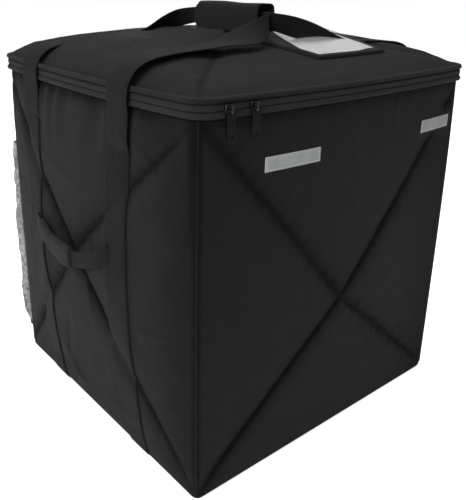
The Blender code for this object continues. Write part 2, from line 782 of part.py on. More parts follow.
def build_slider(prefix, x):
    place = zip_frame(x)
    block = bmesh.new()
    bmesh.ops.create_cube(block, size=1.0)
    for corner in block.verts:
        corner.co.x *= SLIDER_WIDTH
        corner.co.y *= SLIDER_DEPTH
        corner.co.z *= SLIDER_HEIGHT
    bmesh.ops.bevel(block, geom=block.edges[:], offset=0.0012, segments=2, profile=0.5,
                    affect="EDGES")
    mesh = bpy.data.meshes.new(prefix + "_slider")
    block.to_mesh(mesh)
    block.free()
    slider = add_object(prefix + "_slider", mesh, "metal")
    middle = Matrix.Translation((0.0, -BODY_OUT - SLIDER_DEPTH / 2, 0.0))
    slider.matrix_world = place @ middle
    inner = BRIDGE_HALF - BRIDGE_THICK
    root = -0.0015
    reach = BRIDGE_GAP
    shoulder = BRIDGE_HALF - 0.0018
    bridge = [(root, -BRIDGE_HALF), (reach, -BRIDGE_HALF), (reach + BRIDGE_THICK, -shoulder),
              (reach + BRIDGE_THICK, shoulder), (reach, BRIDGE_HALF),
              (root, BRIDGE_HALF), (root, inner), (reach - 0.0004, inner),
              (reach, inner - 0.0005), (reach, -inner + 0.0005),
              (reach - 0.0004, -inner), (root, -inner)]
    # the outline's X runs outwards and its Y runs up; its thickness lies along the zip
    turn = Matrix(((0, 0, 1, 0), (-1, 0, 0, 0), (0, 1, 0, 0), (0, 0, 0, 1)))
    outwards = Matrix.Translation((0.0, -BODY_OUT - SLIDER_DEPTH, 0.0))
    loop = flat_shape(prefix + "_bridge", [bridge], 0.0030, "metal",
                      place @ outwards @ turn)
    join(slider, loop)
    build_pull_tab(prefix, place)


def build_pull_tab(prefix, place):
    """The pull: a bar at the top turns inside the bridge, and a round hole is at the foot."""
    bar = TAB_THICK / 2
    half = TAB_WIDTH / 2
    low = bar - TAB_LENGTH
    outline = [(-half + 0.001, bar), (half - 0.001, bar), (half, bar - 0.001)]
    for k in range(0, 7):
        angle = -pi * k / 6
        outline.append((half * cos(angle), low + half + half * sin(angle)))
    outline.append((-half, bar - 0.001))
    window = [(-0.0027, -bar), (0.0027, -bar), (0.0027, -bar - TAB_WINDOW),
              (-0.0027, -bar - TAB_WINDOW)]
    hole = circle((0.0, low + half), TAB_HOLE_R, 14)
    upright = Matrix.Rotation(pi / 2, 4, "X")
    pivot = Matrix.Translation((0.0, -PIVOT_OUT, 0.0))
    flat_shape(prefix + "_pull_tab", [outline, window, hole], TAB_THICK, "metal",
               place @ pivot @ upright)


# ---------------------------------------------------------------- assembly
def build():
    build_base()
    for side in SIDE_ORDER:
        build_wall(side)
    build_corner_piping()
    build_liner()
    build_rim()
    build_lid_hinge_strip()
    build_lid()
    build_ticket_pocket()
    build_reflectors()
    build_back_pocket()
    build_sewn_straps()
    build_loops()
    build_grip_wrap()
    for side, sx in (("left", -1), ("right", 1)):
        build_grab_handle(side, sx)
    for prefix, x in zip(("left", "right"), SLIDER_X):
        build_slider(prefix, x)


build()
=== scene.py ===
"""Looks of the insulated food carrier: quilted nylon walls and lid, zip, webbing, windows.

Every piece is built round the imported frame, in metres: +Z up, the front towards -Y,
the lid's hinge along +Y and the carry loops on the -X and +X sides.
"""
import math

import bpy
import numpy as np
from mathutils import Matrix, Vector


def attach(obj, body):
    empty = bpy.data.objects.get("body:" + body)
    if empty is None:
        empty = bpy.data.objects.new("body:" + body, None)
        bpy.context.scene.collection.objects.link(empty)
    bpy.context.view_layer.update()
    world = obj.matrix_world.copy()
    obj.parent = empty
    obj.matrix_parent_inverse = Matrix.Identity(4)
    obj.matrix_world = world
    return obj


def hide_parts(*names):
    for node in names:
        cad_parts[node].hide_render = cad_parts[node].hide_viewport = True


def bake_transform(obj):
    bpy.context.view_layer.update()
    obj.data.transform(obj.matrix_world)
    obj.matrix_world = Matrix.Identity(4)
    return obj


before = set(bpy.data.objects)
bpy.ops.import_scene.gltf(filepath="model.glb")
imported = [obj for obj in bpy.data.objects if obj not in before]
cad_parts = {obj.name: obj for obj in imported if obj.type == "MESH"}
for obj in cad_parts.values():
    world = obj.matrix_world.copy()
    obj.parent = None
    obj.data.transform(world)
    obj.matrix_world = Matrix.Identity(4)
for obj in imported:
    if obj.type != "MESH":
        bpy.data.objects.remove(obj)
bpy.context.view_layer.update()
SCENE = bpy.context.scene

# ---------------------------------------------------------------- measures of the frame
WIDTH, DEPTH, BODY_TOP = 0.556, 0.540, 0.5555
WALL, SKIN, GAP = 0.026, 0.0015, 0.0003
WALL_LOW = 0.0092
RIM_CORNER, BASE_CORNER = 0.024, 0.012
LID_Z, LID_LOW = 0.5578, 0.5599
STRAP_Y, STRAP_HALF, STRAP_THICK, STRAP_TOP = 0.130, 0.025, 0.0018, 0.4995
HANDLE_Z, HANDLE_HALF, HANDLE_THICK = 0.360, 0.0125, 0.0024
HANDLE_CLEAR, HANDLE_BULGE, HANDLE_TILT, HANDLE_SAG = 0.0062, 0.015, 0.010, 0.027
GRIP_Y, GRIP_Z = -0.005, 0.650
PATCH_HALF = 0.010            # half the height of a reflective patch
SEW_LINES = (-0.86, 0.86)     # where stitches run on the webbing, as shares of its half width
SIDES = {
    # half length along the side, distance out, bow at the rim, belly, height of the crossing
    "front": (WIDTH / 2, DEPTH / 2, 0.014, 0.004, 0.245),
    "right": (DEPTH / 2, WIDTH / 2, 0.017, 0.012, 0.300),
    "back": (WIDTH / 2, DEPTH / 2, 0.0, 0.0, 0.280),
    "left": (DEPTH / 2, WIDTH / 2, 0.017, 0.016, 0.310),
}
ORDER = ("front", "right", "back", "left")


# ---------------------------------------------------------------- camera and light
SKY_LIGHT = 0.22      # what the white backdrop adds to the light on the bag


def make_camera():
    """A 46 mm view from the front left, a little above the lid."""
    ahead = Vector((0.6057, 0.7266, -0.3243)).normalized()
    level = ahead.cross(Vector((0, 0, 1))).normalized()
    above = level.cross(ahead)
    roll = math.radians(0.889)
    right = level * math.cos(roll) + above * math.sin(roll)
    up = above * math.cos(roll) - level * math.sin(roll)
    data = bpy.data.cameras.new("camera")
    data.sensor_width = 36.0
    data.lens = 46.35
    data.shift_x = 0.0361
    data.shift_y = -0.1094
    data.clip_end = 50.0
    eye = bpy.data.objects.new("camera", data)
    turn = Matrix((right, up, -ahead)).transposed().to_4x4()
    eye.matrix_world = Matrix.Translation((-0.7289, -0.8427, 0.7176)) @ turn
    SCENE.collection.objects.link(eye)
    SCENE.camera = eye


def soft_light(name, at, aim, size, watts):
    data = bpy.data.lights.new(name, "AREA")
    data.shape = "DISK"
    data.size = size
    data.energy = watts
    lamp = bpy.data.objects.new(name, data)
    lamp.location = at
    lamp.rotation_euler = (Vector(aim) - Vector(at)).to_track_quat("-Z", "Y").to_euler()
    SCENE.collection.objects.link(lamp)


def make_studio():
    """A bright white studio: the backdrop is pure white, the light on the bag is softer."""
    SCENE.view_settings.view_transform = "Standard"
    world = bpy.data.worlds.new("studio")
    SCENE.world = world
    world.use_nodes = True
    tree = world.node_tree
    tree.nodes.clear()
    seen = tree.nodes.new("ShaderNodeBackground")
    lit = tree.nodes.new("ShaderNodeBackground")
    for sky, strength, colour in ((seen, 1.0, (1.0, 1.0, 1.0, 1.0)),
                                  (lit, SKY_LIGHT, (0.96, 0.98, 1.0, 1.0))):
        sky.inputs["Strength"].default_value = strength
        sky.inputs["Color"].default_value = colour
    path = tree.nodes.new("ShaderNodeLightPath")
    mix = tree.nodes.new("ShaderNodeMixShader")
    out = tree.nodes.new("ShaderNodeOutputWorld")
    tree.links.new(path.outputs["Is Camera Ray"], mix.inputs["Fac"])
    tree.links.new(lit.outputs[0], mix.inputs[1])
    tree.links.new(seen.outputs[0], mix.inputs[2])
    tree.links.new(mix.outputs[0], out.inputs["Surface"])
    soft_light("key", (-2.6, -0.9, 2.2), (-0.1, 0.0, 0.35), 1.8, 54.0)
    soft_light("top", (-0.3, 0.2, 3.0), (0.0, 0.0, 0.5), 2.2, 46.0)
    soft_light("back", (2.1, 2.8, 0.35), (0.1, 0.1, 0.25), 1.4, 40.0)
    soft_light("spark", (-1.5, -1.9, 1.2), (-0.2, -0.28, 0.56), 0.16, 1.6)
    soft_light("front", (-1.3, -2.8, 2.3), (-0.2, 0.0, 0.4), 0.5, 6.0)


# ---------------------------------------------------------------- materials
class Nodes:
    """A short way to write a material's node tree."""

    def __init__(self, name):
        self.material = bpy.data.materials.new(name)
        self.material.use_nodes = True
        self.tree = self.material.node_tree
        self.shader = self.tree.nodes["Principled BSDF"]

    def put(self, kind, inputs=None, **settings):
        made = self.tree.nodes.new("ShaderNode" + kind)
        for key, value in settings.items():
            setattr(made, key, value)
        for key, value in (inputs or {}).items():
            self.feed(made.inputs[key], value)
        return made

    def feed(self, socket, value):
        if isinstance(value, bpy.types.NodeSocket):
            self.tree.links.new(value, socket)
        else:
            socket.default_value = value

    def math(self, operation, first, second=0.0):
        made = self.put("Math", operation=operation)
        self.feed(made.inputs[0], first)
        self.feed(made.inputs[1], second)
        return made.outputs[0]

    def mark(self, name):
        return self.put("Attribute", attribute_name=name).outputs["Fac"]

    def total(self, *weighted):
        """The sum of (socket, weight) pairs."""
        result = 0.0
        for socket, weight in weighted:
            result = self.math("ADD", self.math("MULTIPLY", socket, weight), result)
        return result

    def level(self, bias, *weighted):
        return self.math("ADD", self.total(*weighted), bias)

    def noise(self, place, scale, detail=2.0, distortion=0.0):
        made = self.put("TexNoise", {"Vector": place, "Scale": scale, "Detail": detail,
                                     "Distortion": distortion})
        return self.math("SUBTRACT", made.outputs["Fac"], 0.5)

    def mix(self, factor, dark, light):
        made = self.put("Mix", data_type="RGBA", clamp_factor=True)
        self.feed(made.inputs[0], factor)
        made.inputs[6].default_value = (*dark, 1.0)
        made.inputs[7].default_value = (*light, 1.0)
        return made.outputs[2]

    def bump(self, height, distance, normal=None):
        made = self.put("Bump", {"Strength": 1.0, "Distance": distance, "Height": height})
        if normal is not None:
            self.feed(made.inputs["Normal"], normal)
        return made.outputs["Normal"]

    def set(self, **values):
        for key, value in values.items():
            self.feed(self.shader.inputs[key.replace("_", " ")], value)
        return self.material

    def places(self):
        """Cloth coordinates in metres along and across, and the place in space."""
        made = self.put("TexCoord")
        parts = self.put("SeparateXYZ", {0: made.outputs["UV"]})
        return parts.outputs[0], parts.outputs[1], made.outputs["Object"]

    def wave(self, socket, pitch):
        return self.math("SINE", self.math("MULTIPLY", socket, 2 * math.pi / pitch))


def shade(colour, factor):
    return tuple(min(1.0, c * factor) for c in colour)


def cloth(name, colour, pitch, rib=None, rough=0.66, sheen=0.05, gloss=0.14, mottle=0.5,
          thread=0.00022, crumple=0.0009, crumple_scale=38.0):
    """Woven cloth: yarns at the pitch, optional cross ribs, worn patches and soft creases in its
    bump, with painted shade where the mesh is marked creased and, where it is marked worn, a
    lighter tone that is wear and in places a painted highlight.
    """
    g = Nodes(name)
    u, v, place = g.places()
    weave = g.math("MULTIPLY", g.wave(u, pitch), g.wave(v, pitch))
    if rib:
        lines = g.wave(u, rib)
        weave = g.total((lines, 0.75), (weave, 0.35))
    cloud = g.noise(place, 9.0, 3.0)
    patch = g.noise(place, 34.0, 3.0)
    fibre = g.noise(place, 900.0, 1.0)
    # painted shade: the crease mark darkens the colour where shade falls; the worn mark lightens
    # it, as wear and on some pieces as painted highlight or reflection
    crease = g.mark("crease")
    worn = g.mark("worn")
    tone = g.level(0.5, (cloud, mottle * 0.75), (patch, mottle * 0.45), (weave, 0.08),
                   (fibre, 0.19), (crease, -0.8), (worn, 0.34))
    rough_map = g.level(rough, (patch, 0.22), (weave, -0.04), (crease, 0.2))
    normal = g.bump(g.total((weave, 1.0), (fibre, 0.9)), thread)
    rolls = g.noise(place, crumple_scale, 2.0, 0.7)
    normal = g.bump(rolls, crumple, normal)
    return g.set(Base_Color=g.mix(tone, shade(colour, 0.25), shade(colour, 1.75)),
                 Roughness=rough_map, Normal=normal, Sheen_Weight=sheen,
                 Sheen_Roughness=0.45, Specular_IOR_Level=gloss)


def metal(name, colour, rough, coat=0.2):
    g = Nodes(name)
    _, _, place = g.places()
    scratch = g.noise(place, 1400.0, 2.0, 0.4)
    cloud = g.noise(place, 160.0, 2.0)
    tone = g.level(0.5, (cloud, 0.8), (scratch, 0.5))
    return g.set(Base_Color=g.mix(tone, shade(colour, 0.6), shade(colour, 1.5)),
                 Metallic=0.9, Coat_Weight=coat, Coat_Roughness=0.06,
                 Roughness=g.level(rough, (cloud, 0.14), (scratch, 0.12)),
                 Normal=g.bump(g.noise(place, 230.0, 1.0, 0.6), 0.00025,
                               g.bump(scratch, 0.00004)))


def plastic(name, colour, rough):
    g = Nodes(name)
    _, _, place = g.places()
    grain = g.noise(place, 1100.0, 1.0)
    cloud = g.noise(place, 120.0, 2.0)
    tone = g.level(0.5, (cloud, 0.7), (grain, 0.4))
    return g.set(Base_Color=g.mix(tone, shade(colour, 0.6), shade(colour, 1.5)),
                 Roughness=g.level(rough, (cloud, 0.2)),
                 Normal=g.bump(grain, 0.00005), Specular_IOR_Level=0.35)


def reflective(name):
    """Silver glass-bead tape with a fine lozenge emboss and a plain selvedge."""
    g = Nodes(name)
    u, v, place = g.places()
    lozenge = g.math("MULTIPLY", g.wave(g.math("ADD", u, v), 0.0042),
                     g.wave(g.math("SUBTRACT", u, v), 0.0042))
    cloud = g.noise(place, 55.0, 3.0)
    beads = g.noise(place, 2200.0, 1.0)
    edge = g.mark("worn")
    tone = g.level(0.35, (cloud, 0.5), (lozenge, 0.12), (beads, 0.3), (edge, 0.55))
    return g.set(Base_Color=g.mix(tone, (0.26, 0.265, 0.27), (0.66, 0.67, 0.68)),
                 Metallic=0.25,
                 Roughness=g.level(0.42, (cloud, 0.2), (lozenge, 0.05)),
                 Normal=g.bump(g.total((lozenge, 0.5), (beads, 1.0)), 0.0001))


def clear_film(name, colour, rough, crinkle, scale, cover, contrast=0.2, painted_reflection_cover=0.0):
    """A thin clear film: it covers what lies below only a little and gleams on top.

    Where the mesh is marked worn the film is painted light and more opaque, with hard light and
    dark folds: a painted reflection of crinkled vinyl, with painted shade in its folds.
    """
    g = Nodes(name)
    _, _, place = g.places()
    folds = g.noise(place, scale, 3.0, 1.2)
    worn = g.mark("worn")
    haze = g.level(rough, (folds, 0.1))
    # painted reflection and shade: the worn mark deepens the light and dark folds in the colour
    # and makes the film more opaque
    depth = g.math("ADD", g.math("MULTIPLY", worn, 1.7), 0.9)
    tone = g.math("ADD", g.math("MULTIPLY", g.total((folds, 1.0)), depth), 1.0)
    tone = g.math("SUBTRACT", tone, g.math("MULTIPLY", worn, 0.4))
    alpha = cover
    if painted_reflection_cover:
        alpha = g.math("ADD", g.math("MULTIPLY", worn, painted_reflection_cover - cover), cover)
    return g.set(Base_Color=g.mix(tone, shade(colour, 1 - contrast), colour), Roughness=haze,
                 Alpha=alpha, IOR=1.40, Specular_IOR_Level=0.35,
                 Normal=g.bump(folds, crinkle))


def foil_liner(name):
    g = Nodes(name)
    u, v, place = g.places()
    folds = g.noise(place, 26.0, 4.0, 1.6)
    fine = g.noise(place, 150.0, 2.0, 0.8)
    grid = g.math("MULTIPLY", g.wave(u, 0.0035), g.wave(v, 0.0035))
    crease = g.mark("crease")
    # painted shade: the crease mark darkens the foil in the lining's hollows and along its seams
    tone = g.level(0.55, (folds, 0.9), (fine, 0.4), (crease, -0.5))
    return g.set(Base_Color=g.mix(tone, (0.30, 0.31, 0.32), (0.62, 0.63, 0.64)),
                 Metallic=0.35,
                 Roughness=g.level(0.34, (folds, 0.25), (fine, 0.1)),
                 Normal=g.bump(g.total((folds, 1.0), (fine, 0.3), (grid, 0.05)), 0.0022))


def paper(name):
    g = Nodes(name)
    _, _, place = g.places()
    cloud = g.noise(place, 24.0, 3.0)
    fibre = g.noise(place, 1300.0, 2.0)
    tone = g.level(0.6, (cloud, 0.6), (fibre, 0.5))
    return g.set(Base_Color=g.mix(tone, (0.72, 0.72, 0.71), (0.93, 0.93, 0.92)),
                 Roughness=g.level(0.75, (fibre, 0.2)),
                 Normal=g.bump(fibre, 0.00006))


def floor_paper():
    """White paper that keeps up with the white backdrop wherever the camera sees it."""
    g = Nodes("floor_paper")
    _, _, place = g.places()
    grain = g.noise(place, 6.0, 3.0)
    tone = g.math("ADD", grain, 0.5)
    seen = g.put("LightPath").outputs["Is Camera Ray"]
    return g.set(Base_Color=g.mix(tone, (0.88, 0.88, 0.88), (0.92, 0.92, 0.92)),
                 Roughness=0.9, Specular_IOR_Level=0.1,
                 Emission_Color=(1.0, 1.0, 1.0, 1.0),
                 Emission_Strength=g.math("MULTIPLY", seen, 0.80))


BLACK = (0.0078, 0.0078, 0.0083)
MATERIALS = {
    "nylon": cloth("nylon", BLACK, 0.0009),
    # lid_nylon: a slightly lighter copy of the wall cloth for the upward-facing lid: painted light
    "lid_nylon": cloth("lid_nylon", shade(BLACK, 1.05), 0.0009),
    "piping": cloth("piping", shade(BLACK, 1.45), 0.0011, rough=0.55, mottle=0.35,
                    crumple=0.0003, crumple_scale=90.0),
    # tape: the black cloth made 2.5 times as light, a painted highlight for the light along the
    # zip bands' rounded ridges
    "tape": cloth("tape", shade(BLACK, 2.5), 0.0011, rib=0.0016, rough=0.60, mottle=0.3,
                  crumple=0.0002, crumple_scale=70.0),
    # padding: the black cloth made 1.7 times as light for the handle sleeves, partly their own
    # tone and partly a painted highlight
    "padding": cloth("padding", shade(BLACK, 1.7), 0.0009),
    "webbing": cloth("webbing", (0.0060, 0.0060, 0.0060), 0.0014, rib=0.0030, rough=0.66,
                     sheen=0.05, mottle=0.35, thread=0.00040, crumple=0.0003,
                     crumple_scale=60.0),
    "thread": cloth("thread", (0.0150, 0.0150, 0.0155), 0.0007, rough=0.5, mottle=0.3,
                    crumple=0.0001),
    "foil": foil_liner("foil"),
    "coil": plastic("coil", (0.010, 0.010, 0.011), 0.34),
    "metal": metal("black_metal", (0.012, 0.012, 0.013), 0.12),
    "slider_metal": metal("bright_black_metal", (0.030, 0.030, 0.032), 0.08, 1.0),
    "reflective": reflective("reflective"),
    "window": clear_film("window", (0.10, 0.11, 0.13), 0.16, 0.0012, 22.0, 0.14),
    # pocket_clear: a light grey film, fairly opaque where marked worn, whose colour is a painted
    # reflection of crinkled vinyl with painted light and dark folds
    "pocket_clear": clear_film("pocket_clear", (0.60, 0.62, 0.64), 0.14, 0.0045, 80.0, 0.24,
                               0.96, 0.80),
    "card": paper("card"),
}


# ---------------------------------------------------------------- meshes
class Soup:
    """Collects closed shells that become one piece, with cloth coordinates in metres."""

    def __init__(self):
        self.points, self.faces, self.coords = [], [], []
        # marks for the materials: crease is painted shade; worn is wear and, on some pieces,
        # painted light
        self.marks = {"crease": [], "worn": []}
        self.count = 0

    def add(self, points, faces, coords, **marks):
        """faces is an array of corner numbers; coords gives each face corner's (u, v)."""
        points = np.asarray(points, float)
        first = points[faces[:, 0]]
        volume = 0.0
        for k in range(1, faces.shape[1] - 1):
            volume += np.sum(first * np.cross(points[faces[:, k]], points[faces[:, k + 1]]))
        if volume < 0:
            faces, coords = faces[:, ::-1], coords[:, ::-1]
        self.points.append(points)
        self.faces.append(faces + self.count)
        self.coords.append(coords)
        for name, kept in self.marks.items():
            kept.append(np.broadcast_to(marks.get(name, 0.0), len(points)).astype(float))
        self.count += len(points)

    def piece(self, name, material, sharp=50.0):
        mesh = bpy.data.meshes.new(name)
        faces = [f for block in self.faces for f in block.tolist()]
        mesh.from_pydata(np.concatenate(self.points).tolist(), [], faces)
        layer = mesh.uv_layers.new(name="cloth")
        coords = np.concatenate([c.reshape(-1, 2) for c in self.coords])
        layer.data.foreach_set("uv", coords.astype(np.float32).ravel())
        for mark, kept in self.marks.items():
            values = np.concatenate(kept)
            made = mesh.attributes.new(mark, "FLOAT", "POINT")
            made.data.foreach_set("value", values.astype(np.float32))
        mesh.materials.append(MATERIALS[material])
        mesh.shade_smooth()
        mesh.set_sharp_from_angle(angle=math.radians(sharp))
        made = bpy.data.objects.new(name, mesh)
        SCENE.collection.objects.link(made)
        return made


def cells(rows, cols, wrap_rows=False, wrap_cols=False):
    """Corner numbers of a lattice's quads, with their unwrapped rows and columns."""
    r, c = lattice(np.arange(rows if wrap_rows else rows - 1),
                   np.arange(cols if wrap_cols else cols - 1))
    r, c = r.ravel(), c.ravel()
    row = np.stack([r, r, r + 1, r + 1], 1)
    col = np.stack([c, c + 1, c + 1, c], 1)
    return (row % rows) * cols + col % cols, row, col


def lattice(rows, cols):
    """Two arrays for a lattice: each place's value from rows, and its value from cols."""
    return np.meshgrid(rows, cols, indexing="ij")


def run_lengths(grid, axis, wrap):
    """Mean distance travelled along one axis of a lattice, from its first line."""
    lines = np.concatenate([grid, grid.take([0], axis)], axis) if wrap else grid
    steps = np.linalg.norm(np.diff(lines, axis=axis), axis=-1).mean(1 - axis)
    return np.concatenate([[0.0], np.cumsum(steps)])


def loop_shell(soup, grid, closed=False, **marks):
    """A tube of rings: rows of wrapped columns, closed on itself or with flat ends."""
    grid = np.asarray(grid, float)
    rows, cols = grid.shape[:2]
    faces, row, col = cells(rows, cols, closed, True)
    along, round_it = run_lengths(grid, 0, closed), run_lengths(grid, 1, True)
    coords = np.stack([along[row], round_it[col]], -1)
    marks = {k: np.asarray(m, float).reshape(-1) if np.ndim(m) == 2 else m
             for k, m in marks.items()}
    points = grid.reshape(-1, 3)
    if not closed:
        ends = []
        for r in (0, rows - 1):
            ring = np.arange(cols) + r * cols
            ends.append(ring if r == 0 else ring[::-1])
        middle = [grid[0].mean(0), grid[-1].mean(0)]
        points = np.concatenate([points, middle])
        for k, ring in enumerate(ends):
            hub = np.full(cols, rows * cols + k)
            fan = np.stack([hub, np.roll(ring, -1), ring, ring], 1)
            faces = np.concatenate([faces, fan])
            coords = np.concatenate([coords, np.zeros((cols, 4, 2))])
        marks = {k: np.concatenate([m, [0.0, 0.0]]) if np.ndim(m) else m
                 for k, m in marks.items()}
    split_add(soup, points, faces, coords, marks)


def split_add(soup, points, faces, coords, marks):
    """Add faces whose last two corners may be the same, as triangles."""
    flat = faces[:, 2] == faces[:, 3]
    if not flat.any():
        soup.add(points, faces, coords, **marks)
        return
    tri_a, tri_b = faces[:, [0, 1, 2]], faces[~flat][:, [0, 2, 3]]
    uv_a, uv_b = coords[:, [0, 1, 2]], coords[~flat][:, [0, 2, 3]]
    soup.add(points, np.concatenate([tri_a, tri_b]), np.concatenate([uv_a, uv_b]), **marks)


def slab(soup, outer, inner, coords=None, star=False, **marks):
    """A thick sheet between two lattices of the same size; star splits along the diagonals."""
    rows, cols = outer.shape[:2]
    count = rows * cols
    faces, row, col = cells(rows, cols)
    if coords is None:
        u = np.broadcast_to(run_lengths(outer, 0, False)[:, None], (rows, cols))
        v = np.broadcast_to(run_lengths(outer, 1, False)[None], (rows, cols))
        coords = np.stack([u, v], -1)
    flat = coords.reshape(-1, 2)
    edge = np.concatenate([np.arange(cols), np.arange(1, rows) * cols + cols - 1,
                           (rows - 1) * cols + np.arange(cols - 2, -1, -1),
                           np.arange(rows - 2, 0, -1) * cols])
    after = np.roll(edge, -1)
    border = np.stack([after, edge, edge + count, after + count], 1)
    quads = np.concatenate([faces, faces[:, ::-1] + count, border])
    if star:
        same = (row[:, 0] < rows // 2) == (col[:, 0] < cols // 2)
        same = np.concatenate([same, same, np.ones(len(border), bool)])
        one = np.where(same[:, None], quads[:, [0, 1, 2]], quads[:, [1, 2, 3]])
        two = np.where(same[:, None], quads[:, [0, 2, 3]], quads[:, [1, 3, 0]])
        quads = np.concatenate([one, two])
    full = {k: np.concatenate([np.broadcast_to(m, (rows, cols)).ravel()] * 2)
            for k, m in marks.items()}
    points = np.concatenate([outer.reshape(-1, 3), inner.reshape(-1, 3)])
    soup.add(points, quads, np.concatenate([flat, flat])[quads], **full)


def unit(vectors):
    return vectors / np.maximum(np.linalg.norm(vectors, axis=-1, keepdims=True), 1e-12)


def curve_through(knots, steps):
    """Catmull-Rom points through the knots."""
    padded = np.concatenate([[2 * knots[0] - knots[1]], knots, [2 * knots[-1] - knots[-2]]])
    t = (np.arange(steps) / steps)[:, None]
    route = []
    for a, b, c, d in zip(padded, padded[1:], padded[2:], padded[3:]):
        route.append(0.5 * (2 * b + (c - a) * t + (2 * a - 5 * b + 4 * c - d) * t ** 2
                            + (3 * b - a - 3 * c + d) * t ** 3))
    return np.concatenate(route + [knots[-1:]])


def evenly(route, pitch):
    """Points at an even pitch along a polyline, with their direction."""
    lengths = np.concatenate([[0], np.cumsum(np.linalg.norm(np.diff(route, axis=0), axis=1))])
    count = max(2, int(lengths[-1] / pitch))
    at = (np.arange(count) + 0.5) * lengths[-1] / count
    points = np.stack([np.interp(at, lengths, route[:, k]) for k in range(3)], 1)
    ahead = np.stack([np.interp(at + pitch / 4, lengths, route[:, k]) for k in range(3)], 1)
    back = np.stack([np.interp(at - pitch / 4, lengths, route[:, k]) for k in range(3)], 1)
    return points, unit(ahead - back)


def stitches(soup, route, outward, pitch=0.0042, size=(0.0030, 0.0009, 0.0007)):
    """A row of sewn stitches along a route; outward gives the cloth's normal there."""
    points, ahead = evenly(np.asarray(route, float), pitch)
    outward = np.asarray(outward, float)
    if outward.ndim == 2:
        share = np.linspace(0, 1, len(outward))
        at = np.linspace(0, 1, len(points))
        outward = np.stack([np.interp(at, share, outward[:, k]) for k in range(3)], 1)
    normal = unit(np.broadcast_to(outward, points.shape))
    across = unit(np.cross(ahead, normal))
    half = np.array(size) / 2
    ring = np.array([(1, 0), (0, 1), (-1, 0), (0, -1)], float)
    grain = [(-1.0, 0.0, 0.0)]
    for x in (-0.6, 0.6):
        grain += [(x, a * 0.9, b * 0.9) for a, b in ring]
    grain.append((1.0, 0.0, 0.0))
    grain = np.array(grain) * half
    body = (points[:, None] + ahead[:, None] * grain[None, :, :1]
            + across[:, None] * grain[None, :, 1:2] + normal[:, None] * grain[None, :, 2:])
    pattern = []
    for k in range(4):
        a, b = 1 + k, 1 + (k + 1) % 4
        pattern += [(0, a, b), (9, b + 4, a + 4), (a, a + 4, b + 4), (a, b + 4, b)]
    pattern = np.array(pattern)
    faces = (pattern[None] + 10 * np.arange(len(points))[:, None, None]).reshape(-1, 3)
    coords = np.broadcast_to(np.array([[0, 0], [0.0006, 0], [0, 0.0006]]),
                             (len(faces), 3, 2)).copy()
    soup.add(body.reshape(-1, 3), faces, coords)


def strap_ring(half, thick, flats=6):
    """A webbing's cross-section: flat faces with rounded selvedges, as (across, out)."""
    edge = thick / 2
    across = np.linspace(-half + edge, half - edge, flats)
    ring = [(x, edge) for x in across]
    ring += [(half - edge + edge * math.cos(a), edge * math.sin(a))
             for a in (math.pi / 4, 0, -math.pi / 4)]
    ring += [(x, -edge) for x in across[::-1]]
    ring += [(-half + edge - edge * math.cos(a), edge * math.sin(a))
             for a in (-math.pi / 4, 0, math.pi / 4)]
    return np.array(ring)


def strap_shell(soup, centre, across, normal, half, thick, gather=1.0):
    """Webbing along a route, with its across and outward directions at every station."""
    ring = strap_ring(half, thick)
    scale = np.broadcast_to(gather, len(centre))
    grid = (centre[:, None] + across[:, None] * (ring[None, :, :1] * scale[:, None, None])
            + normal[:, None] * ring[None, :, 1:2])
    loop_shell(soup, grid)


def round_tube(soup, route, radius, closed=False, sides=10, **marks):
    """A round cord along a route that stays roughly level or roughly upright."""
    route = np.asarray(route, float)
    ahead = np.roll(route, -1, 0) - np.roll(route, 1, 0)
    if not closed:
        ahead[0], ahead[-1] = route[1] - route[0], route[-1] - route[-2]
    ahead = unit(ahead)
    lean = np.array([0, 0, 1.0]) if abs(ahead[len(ahead) // 2][2]) < 0.7 else np.array(
        [0.7, -0.7, 0.0])
    side = unit(np.cross(ahead, lean))
    up = np.cross(side, ahead)
    angle = np.arange(sides) * 2 * math.pi / sides
    grid = (route[:, None] + radius * (side[:, None] * np.cos(angle)[None, :, None]
                                       + up[:, None] * np.sin(angle)[None, :, None]))
    loop_shell(soup, grid, closed, **marks)


def fit(piece, body, slot, *nodes):
    """Ride a body and stand for CAD nodes, which are hidden; the slot argument is not used."""
    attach(piece, body)
    if nodes:
        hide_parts(*nodes)
    return piece


# ---------------------------------------------------------------- the bag's own surfaces
def wall_bow(side, along, z):
    """How far a stuffed wall bows out: at the rim, and at half height."""
    half, _, rim, belly, _ = SIDES[side]
    t = np.clip(z / BODY_TOP, 0.0, 1.0)
    return (rim * t ** 0.8 + belly * np.sin(np.pi * t)) * np.clip(1 - (along / half) ** 2, 0, 1)


def rim_bow(side, along, z):
    half, _, rim, _, _ = SIDES[side]
    return rim * (1 - (along / half) ** 2)


def no_bow(side, along, z):
    return 0.0 * along


def side_point(side, along, out, z):
    along, out, z = np.broadcast_arrays(along, out, z)
    x, y = {"front": (along, -out), "right": (out, along),
            "back": (-along, out), "left": (-out, -along)}[side]
    return np.stack([x, y, z], -1)


def outline(side, s, z, offset, corner, bow):
    """A point on a side: straight for most of its length, then half of the corner's bend."""
    s, z, offset, corner = np.broadcast_arrays(*(np.asarray(a, float)
                                                 for a in (s, z, offset, corner)))
    half, out = SIDES[side][:2]
    straight = half - corner
    turn = np.clip((np.abs(s) - straight / half) / (corner / half), 0, 1) * math.pi / 4
    place = ORDER.index(side)

    def end(name):
        return bow(name, SIDES[name][0] - corner, z)

    beyond = np.where(s > 0, end(ORDER[(place + 1) % 4]), end(ORDER[place - 1]))
    bent = np.abs(s) * half > straight
    along = np.where(bent, np.sign(s) * (straight + (corner + offset + beyond)
                                         * np.sin(turn)), s * half)
    reach = np.where(bent, out - corner + (corner + offset + end(side)) * np.cos(turn),
                     out + offset + bow(side, s * half, z))
    return side_point(side, along, reach, z)


def corner_radius(z):
    return BASE_CORNER + (RIM_CORNER - BASE_CORNER) * np.clip(z / BODY_TOP, 0, 1) ** 5


